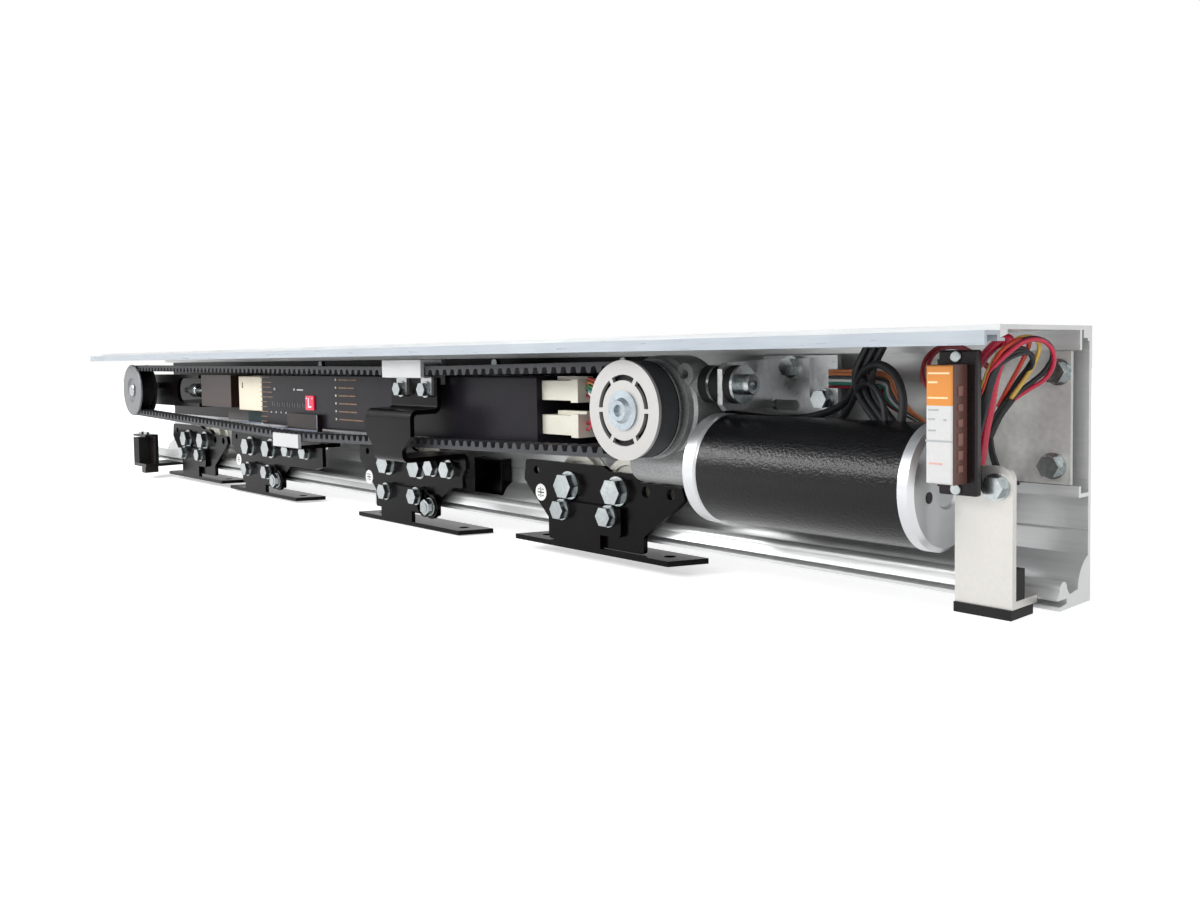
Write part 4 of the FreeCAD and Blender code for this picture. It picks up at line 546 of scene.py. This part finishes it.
base_edge = strip_left - 0.6
bevelled_box("terminal_base", "black_abs",
             base_edge, base_edge + 16, 61.4, 57.5, -9, 47)
bevelled_box("wall_block", "black_powder_coat", 81, 112, 12, 3, -45.5, -21.5)
base_screws = [turned_disc(strip_left + 7, 61.3, z, 2.2, 1.2, 32) for z in (44.4, -6.5)]
settle(joined("terminal_base_screws", base_screws), "bright_zinc_bolt", "header")

# %% Painted shade for the screw hole in the motor's rear cap
cap_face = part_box("motor_rear_cap")[1][0]
hole_depth = 0.0002
# A dark disc on the cap's face paints the shade inside the small screw hole.
deselect()
bpy.ops.mesh.primitive_cylinder_add(vertices=32, radius=0.0024, depth=hole_depth,
                                    location=(cap_face + hole_depth / 2, -0.0558, -0.0119),
                                    rotation=(0, math.pi / 2, 0))
cap_hole_shade = bpy.context.object
cap_hole_shade.name = "cap_screw_hole_shade"
settle(cap_hole_shade, "black_abs", "header")

# %% [markdown]
# Wires are NURBS curves with a round section, led by listed points: distance along the
# beam, distance in front of the wall and height above the beam's bottom edge. The first
# five at the terminal are drawn closer than the CAD tubes, and stand in for that node. Most
# of them loop back into a black sleeve.

# %% Wires
def wire(name, finish, radius, route):
    """A round wire on one smooth curve; sizes in millimetres."""
    curve = bpy.data.curves.new(name, "CURVE")
    curve.dimensions = "3D"
    curve.bevel_depth = radius / 1000
    curve.bevel_resolution = 3
    curve.use_fill_caps = True
    spline = curve.splines.new("NURBS")
    spline.points.add(len(route) - 1)
    for point, (x, front, up) in zip(spline.points, route):
        point.co = (x / 1000, -front / 1000, (up - 56) / 1000, 1)
    spline.order_u = 3
    spline.use_endpoint_u = True
    piece = bpy.data.objects.new(name, curve)
    bpy.context.scene.collection.objects.link(piece)
    return settle(piece, finish, "header")


base_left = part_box("terminal_foot")[0][0] * 1000
base_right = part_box("terminal_foot")[1][0] * 1000
terminal = [
    wire("supply_cable", "crimson_cable", 2, [
        (468, 52, 88), (469, 48, 94), (476, 46, 104), (483, 45, 108), (482.5, 46, 104),
        (479.3, 47, 97), (477.3, 47, 89), (475.8, 46, 81), (474, 46, 74), (472.2, 45, 66),
        (471, 45, 57.5)]),
    wire("red_terminal_wire", "red_wire", 0.9, [
        (base_right, 54, 84), (478, 54, 90), (479.5, 52, 97), (482.6, 50, 103), (486, 44, 107),
        (487.6, 38, 106.5), (485.6, 36, 102.4), (481.2, 34, 95.6), (476.1, 32, 88.6),
        (471.6, 32, 80)]),
    wire("yellow_terminal_wire", "yellow_wire", 0.9, [
        (base_right, 54, 86), (477.7, 54, 92), (480.1, 50, 101), (484.6, 44, 107), (487.6, 38, 108),
        (489.6, 34, 105.7), (488.2, 32, 101), (484.8, 31, 95), (480.7, 31, 89), (476.1, 32, 82.4),
        (473, 32, 78.5)]),
    wire("black_terminal_wire", "black_cable", 1, [
        (base_right, 54, 80), (478.3, 54, 88), (481, 50, 99), (485.6, 44, 106), (490, 38, 107.5),
        (493, 32, 104.6), (492.3, 28, 99.8), (488.4, 27, 94), (483.8, 28, 90), (477, 31, 84),
        (473.5, 32, 79)]),
    wire("left_terminal_wire", "dark_red_wire", 0.9, [
        (base_left, 58, 88), (458, 57, 89), (451, 51, 95), (449, 43, 102), (452, 34, 105),
        (457, 25, 102), (459, 17, 96), (459, 11, 95)]),
]
for piece in terminal:
    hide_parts("terminal_wires")
for step in range(3):
    shift = 4.2 * step
    wire(f"supply_bundle_{step}", "black_cable", 1.7, [
        (409 + shift, 30, 105), (406 + shift, 30, 100), (402 + shift, 30, 92),
        (406 + shift, 32, 83), (414 + shift, 35, 76), (420 + shift, 38, 71.5)])
wire("wire_sleeve", "black_cable", 1.9, [
    (477, 32, 83.5), (473, 32, 78.5), (469.8, 32, 73), (467.8, 32, 68)])
wire("crimson_terminal_wire", "crimson_cable", 0.9, [
    (base_right, 54, 88), (479.3, 53, 95), (484, 50, 101), (489.5, 44, 107), (492.1, 34, 106),
    (493.6, 30, 101), (491.6, 27, 95.4), (487.9, 26, 90.5), (481.8, 28, 86.8), (474.5, 31, 81)])
for step in range(3):
    wire(f"loose_black_wire_{step}", "black_cable", 0.9, [
        (base_right, 54, 76 - 3 * step), (478.2, 54, 86 - 3 * step), (480.2, 53, 95 - 2 * step),
        (483.1, 48, 99 + 2 * step), (486.1, 40, 102 + step), (487.7, 34, 100.4 - step),
        (482.8, 30, 95.5 - step), (477.7, 30, 89.5 - step), (472.5, 32, 78)])
for step in range(2):
    x = 469.6 - 1.6 * step
    wire(f"thin_black_wire_{step}", "black_cable", 0.8, [
        (468.4, 32, 71), (468.5 - step, 31, 63), (x, 29, 57), (x, 24, 51), (x, 17, 48),
        (x, 11, 47)])
wire("second_left_wire", "dark_red_wire", 0.9, [
    (base_left, 58, 85), (457, 57, 86), (449, 52, 92), (447, 45, 101), (451, 36, 106),
    (457, 26, 103), (460, 17, 94), (460, 11, 92)])
encoder_finishes = ("orange_wire", "orange_wire", "slate_wire", "white_wire", "teal_wire",
                    "dark_red_wire")
for step, finish in enumerate(encoder_finishes):
    drop = 1.5 * step
    wire(f"encoder_wire_{step}", finish, 0.75, [
        (378, 15, 94 - drop), (392, 19, 94 - drop), (406, 22, 94 - drop),
        (418 - drop / 2, 24, 93 - drop), (420 - drop, 24, 85 - drop / 2), (426 - drop, 23, 77),
        (432 - drop / 2, 20, 72), (436, 14, 66), (438, 11, 58)])
upper_finishes = ("red_wire", "orange_wire", "green_wire", "teal_wire", "white_wire",
                  "dark_red_wire")
for step, finish in enumerate(upper_finishes):
    wire(f"upper_plug_wire_{step}", finish, 0.7, [
        (237.8, 43 + step % 2 * 3, 89 - 1.7 * step), (243, 48, 90 - 1.5 * step),
        (250, 55, 91 - 2.2 * step), (258, 54, 88 - 2.4 * step), (264, 46, 84 - 2 * step),
        (269, 40, 81 - 1.5 * step), (272, 36, 79 - 1.2 * step)])
lower_finishes = ("dark_red_wire", "crimson_cable", "dark_red_wire", "crimson_cable")
for step, finish in enumerate(lower_finishes):
    wire(f"lower_plug_wire_{step}", finish, 0.8, [
        (237.8, 43 + step % 2 * 3, 67 - 1.8 * step), (243, 48, 68 - 1.7 * step),
        (250, 54, 70 - 1.7 * step), (258, 52, 71 - 1.7 * step), (266, 44, 70 - 1.6 * step),
        (272, 38, 69 - 1.6 * step)])

# %% [markdown]
# The photograph's camera was solved from the beam's edges: it stands in front of the motor
# end, slightly above the middle of the beam, and looks back along it at about 48 degrees.

# %% Camera
yaw, pitch, roll = 0.8365, -0.05, 0.0149
ahead = Vector((-math.sin(yaw) * math.cos(pitch), math.cos(yaw) * math.cos(pitch), math.sin(pitch)))
level = Vector((math.cos(yaw), math.sin(yaw), 0))
down = ahead.cross(level)
right = level * math.cos(roll) + down * math.sin(roll)
down = down * math.cos(roll) - level * math.sin(roll)
lens = bpy.data.cameras.new("photo_camera")
camera = bpy.data.objects.new("photo_camera", lens)
bpy.context.scene.collection.objects.link(camera)
turn = Matrix((right, -down, -ahead)).transposed().to_4x4()
camera.matrix_world = Matrix.Translation((0.6806, -0.4357, 0.0469)) @ turn
lens.sensor_fit = "HORIZONTAL"
lens.sensor_width = 36
lens.lens = 1062.8 * 36 / 1200
lens.shift_y = -41.3 / 1200
lens.clip_start = 0.01
bpy.context.scene.camera = camera
print("lens", round(lens.lens, 2), "mm")

# %% [markdown]
# A product photograph of a shiny metal part is lit by large soft panels, because metal shows
# what stands round it. A long narrow one draws a soft line on the motor. The floor glows
# white to the camera and to mirrors alone, so it keeps its shadow and throws no extra light.

# %% Floor, world and lamps
deselect()
bpy.ops.mesh.primitive_plane_add(size=12, location=(0, 0, -0.0712))
floor = bpy.context.object
floor.name = "studio_floor"
floor_paint = surface("studio_floor_paint", "F6F6F6", "F3F3F3", 0.0, 0.9, 40, 0.0)
floor.data.materials.append(floor_paint)


def seen_by_eye_or_mirror(tree):
    """One for rays from the camera, a mirror or a clear piece, and nothing for the rest."""
    ray = add(tree, "ShaderNodeLightPath")
    direct = add(tree, "ShaderNodeMath", None,
                 {0: ray.outputs["Is Camera Ray"], 1: ray.outputs["Is Glossy Ray"]},
                 operation="MAXIMUM")
    return add(tree, "ShaderNodeMath", None,
               {0: direct.outputs["Value"], 1: ray.outputs["Is Transmission Ray"]},
               operation="MAXIMUM").outputs["Value"]


tree = floor_paint.node_tree
shader = tree.nodes["Principled BSDF"]
shader.inputs["Specular IOR Level"].default_value = 0.0
place = add(tree, "ShaderNodeTexCoord")
away = add(tree, "ShaderNodeVectorMath", None, {0: place.outputs["Object"]}, operation="LENGTH")
fade = add(tree, "ShaderNodeMapRange",
           {"From Min": 0.6, "From Max": 1.6, "To Min": 0.52, "To Max": 1.0},
           {"Value": away.outputs["Value"]})
white_share = add(tree, "ShaderNodeMath", None,
                  {0: fade.outputs["Result"], 1: seen_by_eye_or_mirror(tree)}, operation="MULTIPLY")
shader.inputs["Emission Color"].default_value = linear("FFFFFF")
tree.links.new(white_share.outputs["Value"], shader.inputs["Emission Strength"])

world = bpy.data.worlds.new("studio")
bpy.context.scene.world = world
world.use_nodes = True
air = world.node_tree
air.nodes.clear()
strength = add(air, "ShaderNodeMapRange", {"To Min": 0.5, "To Max": 1.0},
               {"Value": seen_by_eye_or_mirror(air)})
backdrop = add(air, "ShaderNodeBackground", {"Color": linear("FFFFFF")},
               {"Strength": strength.outputs["Result"]})
add(air, "ShaderNodeOutputWorld", None, {"Surface": backdrop.outputs["Background"]})


def soft_light(name, place, aim, length, width, power):
    """A rectangular soft light that faces a point."""
    lamp = bpy.data.lights.new(name, "AREA")
    lamp.shape = "RECTANGLE"
    lamp.size = length
    lamp.size_y = width
    lamp.energy = power
    holder = bpy.data.objects.new(name, lamp)
    bpy.context.scene.collection.objects.link(holder)
    holder.location = place
    holder.rotation_euler = (Vector(aim) - Vector(place)).to_track_quat("-Z", "Y").to_euler()


soft_light("motor_strip", (-0.24, -0.9, 0.5), (0.4, -0.05, 0), 1.3, 0.22, 10.5)
soft_light("front_softbox", (0.9, -1.5, 0.9), (0.1, 0, 0), 1.2, 1.2, 8.5)
soft_light("left_softbox", (-1.2, -1.2, 0.6), (-0.2, 0, 0), 1.0, 1.0, 3.0)
soft_light("end_softbox", (1.6, -0.3, 0.4), (0.4, 0, 0), 0.6, 0.6, 2.5)
bpy.context.scene.view_settings.view_transform = "Standard"
